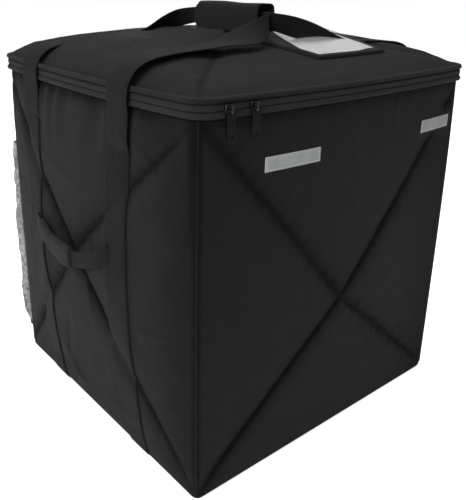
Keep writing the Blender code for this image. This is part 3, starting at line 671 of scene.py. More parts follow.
def rim_route(offset, z, corner=RIM_CORNER, bow=rim_bow, whole=True, stop=0.86, steps=44):
    """Points of the rim's outline: the whole ring, or the zip's run round three sides."""
    route = []
    for side in ("left", "front", "right") + (("back",) if whole else ()):
        bend = 1 - corner / SIDES[side][0]
        s = np.concatenate([-1 + (1 - bend) * np.arange(0, 6) / 6, np.linspace(-bend, bend, steps),
                            1 - (1 - bend) * np.arange(5, 0, -1) / 6])
        if not whole and side != "front":
            s = s[s > -stop] if side == "left" else s[s < stop]
        route.append(outline(side, s, z, offset, corner, bow))
    return np.concatenate(route)


def smooth_step(x):
    x = np.clip(x, 0.0, 1.0)
    return x * x * (3 - 2 * x)


def seam_distance(a, b, half_a, low, high, centre):
    """Distance to the four sewn lines from a panel's corners to its crossing."""
    best = np.full(np.shape(a), 1e9)
    run = np.zeros(np.shape(a))
    for da in (-half_a, half_a):
        for db in (low - centre, high - centre):
            length = math.hypot(da, db)
            t = np.clip((a * da + (b - centre) * db) / length ** 2, 0, 1)
            gap = np.hypot(a - t * da, b - centre - t * db)
            run = np.where(gap < best, t * length, run)
            best = np.minimum(best, gap)
    return best, run


def soft_folds(a, b, rng, count, reach_a, reach_b, size):
    """Shallow folds and dents of loose cloth, as Gaussian ridges at random places."""
    total = np.zeros(np.shape(a))
    for _ in range(count):
        place_a, place_b = rng.uniform(-1, 1, 2) * (reach_a, reach_b)
        turn = rng.uniform(0, math.pi)
        length, width = rng.uniform(0.025, 0.080), rng.uniform(0.006, 0.016)
        height = rng.uniform(0.35, 1.0) * rng.choice([-1.0, 1.0])
        x = (a - place_a) * math.cos(turn) + (b - place_b) * math.sin(turn)
        y = (b - place_b) * math.cos(turn) - (a - place_a) * math.sin(turn)
        total += height * np.exp(-(x / length) ** 2 - (y / width) ** 2)
    return total * size


REFLECTORS = {"near_reflector": (-0.1275, 0.4895, 0.099),
              "far_reflector": (0.2070, 0.4935, 0.084)}
PUFF = {"front": 0.0008, "right": 0.0050, "back": 0.0010, "left": 0.0080}
SINK = {"front": 0.0066, "right": 0.0080, "back": 0.0060, "left": 0.0085}
FOLDS = {"front": 0.0010, "right": 0.0022, "back": 0.0014, "left": 0.0028}


def strap_centre(side, end, z):
    """Where a sewn strap's middle runs: the front left one leans back at mid height."""
    y = -STRAP_Y if end == "front" else STRAP_Y
    if (side, end) == ("left", "front"):
        y = y + 0.0095 * smooth_step(z / 0.20) * smooth_step((0.545 - z) / 0.14)
    return y if side == "right" else -y


def wall_relief(side, along, z):
    """How far the quilted cloth stands off the wall's mean surface, and its crease mark: painted
    shade along the seams and corners, towards the near corner, under the rim and beside the
    straps.
    """
    half, _, _, _, crossing = SIDES[side]
    rng = np.random.default_rng(11 + ORDER.index(side))
    seam, run = seam_distance(along, z, half, WALL_LOW, BODY_TOP, crossing)
    corner, top, base = half - np.abs(along), BODY_TOP - z, z - WALL_LOW
    rounding = 0.065 if side in ("left", "right") else 0.026
    rim = np.tanh(np.clip(corner, 0, 1) / rounding) * np.tanh(np.clip(top, 0, 1) / 0.020)
    rim = rim * np.tanh(np.clip(base, 0, 1) / 0.022)
    puff = (PUFF[side] - SINK[side] * (1 - np.tanh(seam / 0.019))) * rim
    phase = rng.uniform(0, 6.28, 4)
    pucker = np.sin(run / 0.0034 + 1.6 * np.sin(run / 0.021 + phase[0]) + phase[1])
    pucker += 0.6 * np.sin(run / 0.0061 + phase[2])
    near = np.exp(-seam / 0.013) * (1 - np.exp(-seam / 0.0035))
    puff = puff + 0.0011 * pucker * near * rim
    edge = np.exp(-corner / 0.016) * np.sin(z / 0.0062 + 2 * np.sin(z / 0.05 + phase[3]))
    puff = puff + 0.0005 * edge * np.tanh(corner / 0.004)
    puff = puff + soft_folds(along, z - 0.28, rng, 34, half, 0.26, FOLDS[side]) * rim
    puff = puff - 0.0016 * np.exp(-(seam / 0.0030) ** 2) * np.tanh(corner / 0.02)
    # painted shade along the quilting seams (with a little seam dust) and in the corner seams
    crease = np.exp(-(seam / 0.0050) ** 2) + 0.45 * np.exp(-(seam / 0.013) ** 2)
    crease = np.maximum(crease * 1.15, np.exp(-(corner / 0.0040) ** 2))
    # painted shade where the cloth rounds towards the near corner
    if side == "left":
        crease = np.maximum(crease, 0.85 * np.exp(-((half - along) / 0.060) ** 2))
    if side == "front":
        crease = np.maximum(crease, 0.60 * np.exp(-((half - along) / 0.085) ** 2))
    # painted shadow under the rim's overhang
    crease = np.maximum(crease, 0.85 * np.exp(-(top / 0.010) ** 2))
    drape = np.sin(along / 0.0085 + 2.2 * np.sin(along / 0.031 + phase[1]) + phase[2])
    hung = np.exp(-top / 0.045) * np.tanh(top / 0.006) * np.tanh(corner / 0.02)
    puff = puff + FOLDS[side] * 0.9 * drape * hung
    if side in ("left", "right"):
        beside = np.minimum(*(np.abs(along - strap_centre(side, end, z))
                              for end in ("front", "back")))
        beside = np.clip(beside - STRAP_HALF, 0, 1)
        held = (1 - np.tanh(beside / 0.013)) * (1 - smooth_step((z - STRAP_TOP + 0.01) / 0.03))
        swell = 0.0010 + (0.004 if side == "left" else 0.0) * np.sin(np.pi * z / BODY_TOP) ** 2
        puff = puff * (1 - 0.45 * held) + swell * held * rim
        # painted shadow along the edges of the sewn straps
        crease = np.maximum(crease, 0.8 * np.exp(-((beside - 0.0005) / 0.0018) ** 2) * held)
    if side == "front":
        for centre_x, centre_z, length in REFLECTORS.values():
            beside = np.maximum(np.abs(along - centre_x) - length / 2,
                                np.abs(z - centre_z) - PATCH_HALF)
            flat = 1 - smooth_step(beside / 0.018)
            puff = puff * (1 - flat) + 0.0004 * flat
            crease = crease * (1 - flat)
    return puff, crease


WALL_STEPS = 62      # cells from a panel's crossing to its edge
walls = {}


def build_wall(side):
    """One quilted wall: outer cloth pulled in along its X seam, and the foam behind it."""
    half, out, _, _, crossing = SIDES[side]
    step = np.arange(-WALL_STEPS, WALL_STEPS + 1) / WALL_STEPS
    v, u = lattice(step, step)
    z = np.where(v > 0, crossing + v * (BODY_TOP - crossing), crossing + v * (crossing - WALL_LOW))
    base = outline(side, u, z, 0.0, corner_radius(z), wall_bow)
    normal = unit(np.cross(np.gradient(base, axis=1), np.gradient(base, axis=0)))
    puff, crease = wall_relief(side, u * half, z)
    outer = base + normal * puff[..., None]
    inner = side_point(side, u * (half - WALL), out - WALL + GAP, z)
    walls[side] = (outer, normal)
    soup = Soup()
    worn = smooth_step((puff - PUFF[side]) / 0.003) * 0.5
    slab(soup, outer, inner, np.stack([u * half, z], -1), star=True, crease=crease, worn=worn)
    wall = soup.piece(side + "_quilted_wall", "nylon", sharp=70)
    fit(wall, "body", "nylon", side + "_cover", side + "_foam")


def on_wall(side, along, z, lift=0.0):
    """Points standing lift off the quilted cloth of a side, and the cloth's normal there."""
    outer, normal = walls[side]
    half, _, _, _, crossing = SIDES[side]
    along, z = np.broadcast_arrays(np.asarray(along, float), np.asarray(z, float))
    v = np.where(z > crossing, (z - crossing) / (BODY_TOP - crossing),
                 (z - crossing) / (crossing - WALL_LOW))
    col = np.clip((along / half + 1) * WALL_STEPS, 0, 2 * WALL_STEPS - 1e-6)
    row = np.clip((v + 1) * WALL_STEPS, 0, 2 * WALL_STEPS - 1e-6)
    c, r = col.astype(int), row.astype(int)
    fc, fr = (col - c)[..., None], (row - r)[..., None]

    def sample(grid):
        low = grid[r, c] * (1 - fc) + grid[r, c + 1] * fc
        high = grid[r + 1, c] * (1 - fc) + grid[r + 1, c + 1] * fc
        return low * (1 - fr) + high * fr

    out = unit(sample(normal))
    return sample(outer) + out * np.asarray(lift, float)[..., None], out


# ---------------------------------------------------------------- body
def build_base():
    """The base: a flat padded panel that turns up round its edge to meet the walls."""
    n, bend, radius = 40, 6, 0.0088
    a, b, ring = square_cells(n)
    theta = np.clip((ring - (n - bend)) / bend, 0, 1) * math.pi / 2
    flat = np.minimum(ring, n - bend) / (n - bend)
    z = 0.0003 + radius * (1 - np.cos(theta))
    inset = -radius * (1 - np.sin(theta))
    rng = np.random.default_rng(5)
    outer = square_to_rim(a, b, inset, z, BASE_CORNER, no_bow, flat)
    sag = 0.0006 + soft_folds(outer[..., 0], outer[..., 1], rng, 30, 0.27, 0.26, 0.0005)
    outer[..., 2] += np.clip(sag, 0, 0.0016) * (ring < n - bend)
    inner = square_to_rim(a, b, -0.012, z * 0 + 0.0048, BASE_CORNER + 0.010, no_bow,
                          np.minimum(ring / n, 1.0))
    soup = Soup()
    slab(soup, outer, inner, outer[..., :2].copy())
    fit(soup.piece("base_panel", "nylon"), "body", "nylon", "base_cover", "base_board",
        "base_piping")


def square_cells(n):
    """A square lattice's columns and rows, counted from its middle, and each cell's ring."""
    index = np.arange(-n, n + 1)
    b, a = lattice(index, index)
    return a, b, np.maximum(np.abs(a), np.abs(b))


def square_to_rim(a, b, offset, z, corner, bow, reach):
    """Spread a square's cells concentrically out to an outline; reach is 0 to 1."""
    size = np.maximum(np.maximum(np.abs(a), np.abs(b)), 1e-9)
    sx, sy = a / size, b / size
    side_of = np.where(np.abs(a) >= np.abs(b), np.where(a > 0, 1, 3), np.where(b > 0, 2, 0))
    points = np.zeros(np.shape(a) + (3,))
    for k, s in enumerate((sx, sy, -sx, -sy)):
        found = outline(ORDER[k], s, z, offset, corner, bow)
        points = np.where((side_of == k)[..., None], found, points)
    points[..., :2] *= np.asarray(reach)[..., None]
    return points


def build_corner_welts():
    """A narrow piped seam up each corner, where two walls meet."""
    for side, name in (("left", "front_left"), ("front", "front_right"),
                       ("right", "back_right"), ("back", "back_left")):
        soup = Soup()
        z = np.linspace(WALL_LOW + 0.002, BODY_TOP - 0.0005, 90)
        route = outline(side, 1.0, z, 0.0, corner_radius(z), wall_bow)
        route[:, :2] += unit(route[:, :2]) * 0.0001
        # painted shade: the crease mark darkens the whole welt to the dark line of the corner seam
        round_tube(soup, route, 0.0019, sides=8, crease=0.85)
        fit(soup.piece(name + "_welt", "piping"), "body", "piping", name + "_corner_piping")


def build_liner():
    """The wipe-clean tub inside: soft foil-faced cloth, creased where it was folded."""
    floor_z, bend = 0.0290, 0.014
    outward = -(WALL + GAP)
    rng = np.random.default_rng(23)
    cols = len(rim_route(0, 0))
    # each row is (how far in from the wall, height, share of the way to the centre)
    profile = [(0.0, floor_z - 0.0013, k / 12) for k in range(1, 12)]
    profile += [(0.0, floor_z + 0.0002, 1.0)] + [(0.0, z, 1.0) for z in (0.2, 0.4)]
    profile += [(0.0, BODY_TOP - 0.0004, 1.0), (0.0004, BODY_TOP - 0.0001, 1.0),
                (0.0012, BODY_TOP - 0.0003, 1.0)]
    inside = [(0.0015, BODY_TOP - 0.003 - (BODY_TOP - floor_z - bend) * k / 46, 1.0)
              for k in range(47)]
    inside += [(0.0015 + bend * (1 - math.cos(a)), floor_z + bend * (1 - math.sin(a)), 1.0)
               for a in np.linspace(0.2, 1.4, 5)]
    inside += [(0.0015 + bend, floor_z, share) for share in np.linspace(1.0, 0.04, 36)]
    rows = []
    for inset, z, share in profile + inside:
        ring = rim_route(outward - inset, z, corner=-outward + 0.012, bow=no_bow)
        ring[:, :2] *= share
        rows.append(ring)
    grid = np.array(rows)
    first = len(profile)
    body = grid[first:]
    turn = np.linspace(0, 2 * math.pi, cols, endpoint=False)
    depth = np.linspace(0, 1, len(body))[:, None]
    crumple = soft_folds(np.broadcast_to(turn[None], body.shape[:2]) * 0.35 - 1.1,
                         np.broadcast_to(depth, body.shape[:2]) * 0.8 - 0.4, rng, 260, 1.15,
                         0.42, 0.0028)
    hold = np.tanh(depth / 0.03) * np.tanh((1 - depth) / 0.05)
    crumple = np.clip(crumple + 0.0010, 0, 0.006) * hold
    wall_part = np.array([share > 0.999 for _, _, share in inside])[:, None]
    inward = unit(body * [-1, -1, 0])
    body += np.where(wall_part[..., None], inward, [0, 0, 1.0]) * crumple[..., None]
    soup = Soup()
    # painted shade in the hollows of the crumpled lining
    crease = np.zeros(grid.shape[:2])
    crease[first:] = np.clip(-crumple / 0.004 + 0.3, 0, 1) * 0.5
    loop_shell(soup, grid, crease=crease)
    fit(soup.piece("lining_tub", "foil"), "body", "liner", "liner_tub")


def between_rims(share, z):
    """A ring part of the way from the outside of the rim in to the lining."""
    outer = rim_route(-0.0004, z)
    inner = rim_route(-(WALL + GAP + SKIN), z, corner=WALL + GAP + SKIN + 0.010, bow=no_bow)
    return outer * (1 - share) + inner * share


def build_rim():
    """The bound top of the walls, the zip and the two rounded bands that hide its tapes."""
    soup = Soup()
    low, high = 0.55575, LID_Z - 0.0001
    ring = [(0.0, low), (0.0, high - 0.0008), (0.03, high), (0.35, high - 0.0003),
            (0.70, high - 0.0003), (0.97, high), (1.0, high - 0.0008), (1.0, low), (0.5, low)]
    grid = np.stack([between_rims(share, z) for share, z in ring], 1)
    loop_shell(soup, grid, closed=True)
    fit(soup.piece("wall_top_binding", "piping"), "body", "piping", "rim_binding")

    threads = Soup()
    for share in (0.30, 0.76):
        route = between_rims(share, high - 0.0002)
        stitches(threads, np.concatenate([route, route[:1]]), (0, 0, 1))

    lower = [(-0.0058, 0.5583), (0.0030, 0.5578), (0.0056, 0.5583), (0.0068, 0.5598),
             (0.0071, 0.5617), (0.0064, 0.5636), (0.0052, 0.5650), (0.0042, 0.5659),
             (0.0022, 0.5663), (-0.0058, 0.5663)]
    build_band("body_zip_band", "body", lower, "body_zip_tape")
    edge = rim_route(0.0071, 0.5612, whole=False)
    stitches(threads, edge, edge_normals(edge))
    fit(threads.piece("rim_stitching", "thread"), "body", "piping")

    upper = [(-0.0058, 0.5722), (0.0026, 0.5720), (0.0034, 0.5714), (0.0034, 0.5674),
             (0.0040, 0.5668), (0.0047, 0.5671), (0.0051, 0.5692), (0.0052, 0.5718),
             (0.0050, 0.5740), (0.0042, 0.5751), (0.0020, 0.5756), (-0.0058, 0.5756)]
    build_band("lid_zip_band", "lid", upper, "lid_zip_tape")
    threads = Soup()
    edge = rim_route(0.0051, 0.5740, whole=False)
    stitches(threads, edge, edge_normals(edge))
    fit(threads.piece("lid_stitching", "thread"), "lid", "piping")

    for name, body, z in (("body_coil", "body", 0.5679), ("lid_coil", "lid", 0.5704)):
        soup = Soup()
        route = rim_route(0.0014, z, whole=False, stop=0.97)
        outward = edge_normals(route)
        stitches(soup, route - outward * 0.0004, outward, pitch=0.0026,
                 size=(0.0019, 0.0021, 0.0040))
        core = rim_route(-0.0016, z + (0.0002 if body == "lid" else -0.0002), whole=False,
                         stop=0.97)
        round_tube(soup, core, 0.0009, sides=6)
        fit(soup.piece(name, "coil"), body, "zip", body + "_zip_teeth")


def edge_normals(route):
    """Level normals pointing away from the bag along a route round it."""
    ahead = unit(np.gradient(route, axis=0))
    out = np.stack([ahead[:, 1], -ahead[:, 0], np.zeros(len(route))], 1)
    flip = np.sign((out[:, :2] * route[:, :2]).sum(1))
    return out * flip[:, None]


def build_band(name, body, ring, node):
    """A rounded band round three sides of the rim; ring gives (offset, height) pairs."""
    soup = Soup()
    grid = np.stack([rim_route(offset, z, whole=False, stop=0.99) for offset, z in ring], 1)
    loop_shell(soup, grid)
    fit(soup.piece(name, "tape"), body, "zip", node)


# ---------------------------------------------------------------- lid
TICKET = (0.068, -0.122, 0.0775, 0.088)       # centre and half sizes of the ticket pocket
LID_EDGE = 0.5800
PILLOW = {"left": 0.029, "back": 0.028, "right": 0.029, "front": 0.010}      # rise of each panel


def lid_height(x, y):
    """The lid's cloth: four pillows between its diagonals, flatter under the pocket."""
    side_x = WIDTH / 2 + SIDES["left"][2] * np.clip(1 - (y / (DEPTH / 2)) ** 2, 0, 1)
    front = np.where(y < 0, SIDES["front"][2], 0.0)
    side_y = DEPTH / 2 + front * np.clip(1 - (x / (WIDTH / 2)) ** 2, 0, 1)
    gap_x, gap_y = side_x - np.abs(x), side_y - np.abs(y)
    edge = np.clip(np.minimum(gap_x, gap_y), 0, 1)
    crown = 0.026 * np.clip(1 - (x / 0.295) ** 2, 0, 1) * np.clip(1 - (y / 0.284) ** 2, 0, 1)
    turn = np.arctan2(y, x)
    amount, weight = 0.0, 0.0
    for side, facing in (("right", 0.0), ("back", math.pi / 2), ("left", math.pi),
                         ("front", -math.pi / 2)):
        share = np.exp(4.5 * np.cos(turn - facing))
        amount, weight = amount + share * PILLOW[side], weight + share
    rise = amount / weight * np.tanh(edge / 0.030)
    rim = np.tanh(edge / 0.020)
    seam, run = seam_distance(x, y, 0.290, -0.278, 0.278, 0.0)
    cx, cy, hx, hy = TICKET
    beside = np.maximum(np.abs(x - cx) - hx, np.abs(y - cy) - hy)
    held = 1 - smooth_step(beside / 0.035)
    rng = np.random.default_rng(41)
    ripple = np.sin(run / 0.0042 + 1.5 * np.sin(run / 0.03)) * np.exp(-seam / 0.016)
    loose = 0.0008 * ripple * (1 - np.exp(-seam / 0.004))
    loose = loose + soft_folds(x, y, rng, 46, 0.27, 0.26, 0.0015)
    loose = loose - 0.0062 * (1 - np.tanh(seam / 0.022))
    height = LID_EDGE + crown + rise + loose * rim * (1 - held) + 0.0006 * held
    # painted shade along the lid's quilting seams
    crease = np.exp(-(seam / 0.0040) ** 2) * (1 - held)
    return height, crease


def on_lid(x, y, lift=0.0):
    x, y = np.broadcast_arrays(np.asarray(x, float), np.asarray(y, float))
    return np.stack([x, y, lid_height(x, y)[0] + lift], -1)


def lid_normal(x, y):
    step = 0.001
    slope_x = (lid_height(x + step, y)[0] - lid_height(x - step, y)[0]) / (2 * step)
    slope_y = (lid_height(x, y + step)[0] - lid_height(x, y - step)[0]) / (2 * step)
    return unit(np.stack([-slope_x, -slope_y, np.ones(np.shape(slope_x))], -1))


def build_lid():
    """The quilted lid, the piping round its edge and its lining."""
    n = 72
    a, b, ring = square_cells(n)
    reach = ring / n
    flat = square_to_rim(a, b, -0.0026, a * 0.0, RIM_CORNER, rim_bow, reach)
    height, crease = lid_height(flat[..., 0], flat[..., 1])
    # painted shade: the lid is darkened towards its right, where less light falls
    crease = np.maximum(crease, 0.26 * smooth_step(flat[..., 0] / 0.25))
    outer = np.concatenate([flat[..., :2], height[..., None]], -1)
    inner = square_to_rim(a, b, -0.0072, a * 0.0 + LID_LOW, RIM_CORNER, rim_bow, reach)
    soup = Soup()
    slab(soup, outer, inner, flat[..., :2].copy(), star=True, crease=crease)
    lid = soup.piece("lid_quilted_top", "lid_nylon", sharp=60)
    fit(lid, "lid", "nylon", "lid_cover", "lid_foam", "lid_band")

    soup = Soup()
    round_tube(soup, rim_route(0.0030, 0.5800), 0.0041, closed=True)
    fit(soup.piece("lid_edge_piping", "piping"), "lid", "piping", "lid_piping")

    n = 48
    a, b, ring = square_cells(n)
    reach = ring / n
    top = square_to_rim(a, b, -0.0078, a * 0.0 + LID_LOW - 0.0003, RIM_CORNER, rim_bow, reach)
    under = top.copy()
    x, y = under[..., 0], under[..., 1]
    half_x, half_y = WIDTH / 2 - WALL - 0.004, DEPTH / 2 - WALL - 0.004
    inside = np.minimum(half_x - np.abs(x), half_y - np.abs(y))
    seam, _ = seam_distance(x, y, half_x, -half_y, half_y, 0.0)
    hang = 0.0095 * np.tanh(np.clip(inside, 0, 1) / 0.02) * np.tanh(seam / 0.02)
    hang += soft_folds(x, y, np.random.default_rng(77), 60, 0.25, 0.24, 0.0012) * np.tanh(
        np.clip(inside, 0, 1) / 0.03)
    under[..., 2] = LID_Z + GAP - np.clip(hang, 0, 1)
    soup = Soup()
    # painted shade along the lining's seams
    slab(soup, under, top, np.stack([x, y], -1), star=True,
         crease=np.exp(-(seam / 0.003) ** 2) * (inside > 0))
    lining = soup.piece("lid_lining_pad", "foil")
    fit(lining, "lid", "liner", "lid_liner")


def build_hinge():
    """The cloth hinge across the back, from the wall's top up to the lid."""
    half, low, high = WIDTH / 2 - RIM_CORNER, LID_Z - 0.013, 0.5754
    z, x = lattice(np.linspace(low, high, 22), np.linspace(-half, half, 90))
    roll = 0.0012 * np.sin((z - low) / (high - low) * math.pi)
    ripple = 0.0003 * np.sin(x / 0.006 + 2 * np.sin(x / 0.05))
    outer = np.stack([x, 0.2722 + roll + ripple, z], -1)
    inner = np.stack([x, 0.2710 + roll * 0.6 + ripple, z], -1)
    soup = Soup()
    slab(soup, outer, inner)
    strip = soup.piece("lid_hinge_cloth", "nylon")
    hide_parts("lid_hinge_strip")
    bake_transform(strip)


def patch(soup, x, y, lift_low, lift_high, **marks):
    """A thin sheet lying on the lid over a grid of places."""
    slab(soup, on_lid(x, y, lift_high), on_lid(x, y, lift_low), **marks)


def bulge(x, y):
    """How far the pocket's contents push its window up, most at the far right."""
    cx, cy, hx, hy = TICKET
    u, v = (x - cx) / hx, (y - cy) / hy
    hold = np.clip(1 - u ** 6, 0, 1) * np.clip(1 - v ** 6, 0, 1)
    return 0.0085 * hold * smooth_step((u + v + 1.4) / 2.2)


def build_ticket_pocket():
    """A clear pocket sewn on the lid: backing, card, window and a folded binding."""
    cx, cy, hx, hy = TICKET
    step = np.linspace(-1, 1, 31)
    v, u = lattice(step, step)
    x, y = cx + u * hx * 0.99, cy + v * hy * 0.99
    soup = Soup()
    patch(soup, x, y, 0.0006, 0.0014)
    backing = fit(soup.piece("ticket_back_sheet", "lid_nylon"), "lid", "nylon", "ticket_backing")

    # the card lies askew in the pocket, one corner tucked under the binding
    corners = np.array([(-0.0060, -0.2020), (0.1400, -0.1950), (0.1380, -0.0460),
                        (0.0480, -0.0510)])
    s, t = (u + 1) / 2, (v + 1) / 2
    flat = (corners[0] * ((1 - s) * (1 - t))[..., None] + corners[1] * (s * (1 - t))[..., None]
            + corners[2] * (s * t)[..., None] + corners[3] * ((1 - s) * t)[..., None])
    curl = bulge(flat[..., 0], flat[..., 1]) + 0.0006 * np.sin(s * 9.0 + t * 4)
    soup = Soup()
    patch(soup, flat[..., 0], flat[..., 1], 0.0018 + curl, 0.0022 + curl)
    fit(soup.piece("ticket_paper", "card"), "lid", "paper", "ticket_card")

    wave = bulge(x, y) * 1.08 + 0.0011 * (1 - u ** 8) * (1 - v ** 8) * (
        1 + np.sin(u * 5 + v * 3) * np.sin(v * 4 - u * 2))
    soup = Soup()
    patch(soup, x, y, 0.0036 + wave, 0.0041 + wave)
    window = fit(soup.piece("ticket_clear_sheet", "window"), "lid", "vinyl", "ticket_window")

    soup, threads = Soup(), Soup()
    corner = [(-1, -1), (1, -1), (1, 1), (-1, 1)]
    for k in range(4):
        a, b = np.array(corner[k], float), np.array(corner[(k + 1) % 4], float)
        build_binding_side(soup, threads, a, b)
    fit(soup.piece("ticket_bound_edge", "piping"), "lid", "piping", "ticket_binding")
    fit(threads.piece("ticket_stitching", "thread"), "lid", "piping")


def build_binding_side(soup, threads, a, b):
    """One side of the ticket pocket's folded edge tape, mitred at both ends."""
    cx, cy, hx, hy = TICKET
    size = np.array([hx, hy])
    centre = np.array([cx, cy])
    width = 0.0100
    ring = [(0.0, 0.0010), (0.0, 0.0046), (0.06, 0.0056), (0.5, 0.0058), (0.94, 0.0056),
            (1.0, 0.0048), (1.0, 0.0043), (0.5, 0.0043), (0.12, 0.0043), (0.10, 0.0010)]
    t = np.linspace(0, 1, 36)[:, None]
    grid = []
    for share, lift in ring:
        start, end = centre + a * (size - width * share), centre + b * (size - width * share)
        flat = start * (1 - t) + end * t
        grid.append(on_lid(flat[:, 0], flat[:, 1], lift))
    loop_shell(soup, np.stack(grid, 1))
    start, end = centre + a * (size - width * 0.72), centre + b * (size - width * 0.72)
    flat = start * (1 - t) + end * t
    route = on_lid(flat[:, 0], flat[:, 1], 0.0059)
    stitches(threads, route, lid_normal(flat[:, 0], flat[:, 1]), pitch=0.0036)


# ---------------------------------------------------------------- trim on the walls
def build_reflector(name, centre_x, centre_z, length):
    """A silver patch with a raised sewn border."""
    z, x = lattice(np.linspace(-1, 1, 15), np.linspace(-1, 1, 41))
    edge = np.minimum((1 - np.abs(x)) * length / 2, (1 - np.abs(z)) * PATCH_HALF)
    border = 1 - smooth_step((edge - 0.0022) / 0.0008)
    lift = 0.0012 + 0.0005 * border - 0.0006 * np.exp(-(edge / 0.0005) ** 2)
    place = (centre_x + x * length / 2, centre_z + z * PATCH_HALF)
    top, _ = on_wall("front", *place, lift)
    low, _ = on_wall("front", *place, 0.0003 + 0 * x)
    soup = Soup()
    slab(soup, top, low, worn=border)
    fit(soup.piece(name + "_patch", "reflective"), "body", "reflector", name)
    threads = Soup()
    inset = 0.0012
    a, b = length / 2 - inset, PATCH_HALF - inset
    box = [(-a, -b), (a, -b), (a, b), (-a, b), (-a, -b)]
    sew_box(threads, lambda along, rise: ("front", centre_x + along, centre_z + rise),
            box, 40, 0.0018, pitch=0.0032, size=(0.0022, 0.0006, 0.0005))
    return threads


def build_back_pocket():
    """The clear document pocket on the back: a crinkled sheet bound on three edges.

    Its left edge goes into the corner seam, so the sheet stands a little past the corner.
    """
    left, right, low, high, border = 0.2735, 0.200, 0.040, 0.420, 0.014
    back_y = DEPTH / 2
    t, s = lattice(np.linspace(0, 1, 101), np.linspace(0, 1, 131))
    x = right - 0.006 - s * (left + right - 0.006)
    z = low + 0.006 + t * (high - low - 0.006)
    rng = np.random.default_rng(9)
    hold = smooth_step((right - border - x) / 0.03) * smooth_step((z - low - border) / 0.03)
    hold = hold * np.tanh((1 - s) / 0.012)
    crinkle = soft_folds(x + 0.037, z - 0.23, rng, 420, 0.24, 0.20, 0.0030)
    w = np.clip((1 - s) / 0.065, 0, 1)
    belly = (4 * w * (1 - w)) ** 0.8
    y = back_y + 0.0010 + 0.0117 * smooth_step(w / 0.55)
    y = y + (0.0075 + 0.0020 * s + 0.5 * crinkle) * hold
    x = x - (0.0225 - 0.0085 * t + 0.35 * crinkle) * belly * (0.35 + 0.65 * np.tanh(t / 0.06))
    outer, inner = np.stack([x, y + 0.0005, z], -1), np.stack([x, y, z], -1)
    soup = Soup()
    # the bowed strip beside the corner is marked worn: it gets the film's painted reflection,
    # light and more opaque with painted light and dark folds
    slab(soup, outer, inner, worn=np.tanh(4 * belly))
    window = fit(soup.piece("back_clear_sheet", "pocket_clear"), "body", "vinyl",
                 "back_pocket_window")
    soup, threads = Soup(), Soup()
    route = [(right, high), (right, low), (-left, low)]
    for (x0, z0), (x1, z1) in zip(route, route[1:]):
        t = np.linspace(0, 1, 60)
        ring = [(0.0, 0.0006), (0.0, 0.0138), (0.1, 0.0150), (0.5, 0.0153), (0.92, 0.0150),
                (1.0, 0.0146), (1.0, 0.0136), (0.42, 0.0136), (0.42, 0.0006)]
        grid = []
        for share, lift in ring:
            cut = border * share
            if x0 == x1:
                xs = np.full(60, x0 - cut)
                zs = np.maximum(z0 + (z1 - z0) * t, low + cut + 0.0002)
            else:
                xs = (x0 - cut) * (1 - t) + x1 * t
                zs = np.full(60, low + cut)
            grid.append(np.stack([xs, np.full(60, back_y + lift), zs], 1))
        grid = np.stack(grid, 1)
        loop_shell(soup, grid)
        stitches(threads, grid[2:-2, 3], (0, 1, 0))
    fit(soup.piece("back_bound_edge", "piping"), "body", "piping", "back_pocket_binding")
    return threads


def sew_box(threads, place, corners, steps, lift, **stitch):
    """Stitches along straight lines between corners; place gives a wall, along and height."""
    for (a0, b0), (a1, b1) in zip(corners, corners[1:]):
        t = np.linspace(0, 1, steps)
        side, along, z = place(a0 + (a1 - a0) * t, b0 + (b1 - b0) * t)
        line, out = on_wall(side, along, z, lift + 0 * t)
        stitches(threads, line, out, **stitch)


def build_sewn_straps(threads):
    """The webbing sewn up the left and right walls, with its rows and boxes of stitches."""
    for side in ("left", "right"):
        for end in ("front", "back"):
            z = np.linspace(WALL_LOW + 0.0012, STRAP_TOP - 0.0010, 120)
            across = np.array([-1, -0.985, -0.95, -0.7, -0.35, 0, 0.35, 0.7, 0.95, 0.985, 1])
            zz, ww = lattice(z, across)
            top = 0.0006 + STRAP_THICK * np.sqrt(np.clip(1 - ((np.abs(ww) - 0.96) / 0.04)
                                                         .clip(0, 1) ** 2, 0.02, 1))
            middle = strap_centre(side, end, zz) + ww * STRAP_HALF
            outer, _ = on_wall(side, middle, zz, top)
            inner, _ = on_wall(side, middle, zz, 0.0003 + 0 * ww)
            soup = Soup()
            length = np.stack([zz, ww * STRAP_HALF], -1)
            slab(soup, outer, inner, length, worn=0.5 * (np.abs(ww) > 0.9))
            name = side + "_" + end
            fit(soup.piece(name + "_sewn_webbing", "webbing"), "body", "webbing",
                name + "_strap")
            for w in SEW_LINES:
                line, out = on_wall(side, strap_centre(side, end, z) + w * STRAP_HALF, z,
                                    0.0026 + 0 * z)
                stitches(threads, line, out)
            for low, high in ((0.448, 0.492), (0.312, 0.342), (0.016, 0.046)):
                box = [(-0.7, low), (0.7, low), (0.7, high), (-0.7, high), (-0.7, low),
                       (0.7, high), (0.7, low), (-0.7, high)]
                sew_box(threads, lambda w, rise: (
                    side, strap_centre(side, end, rise) + w * STRAP_HALF, rise),
                    box, 20, 0.0026, pitch=0.0036)


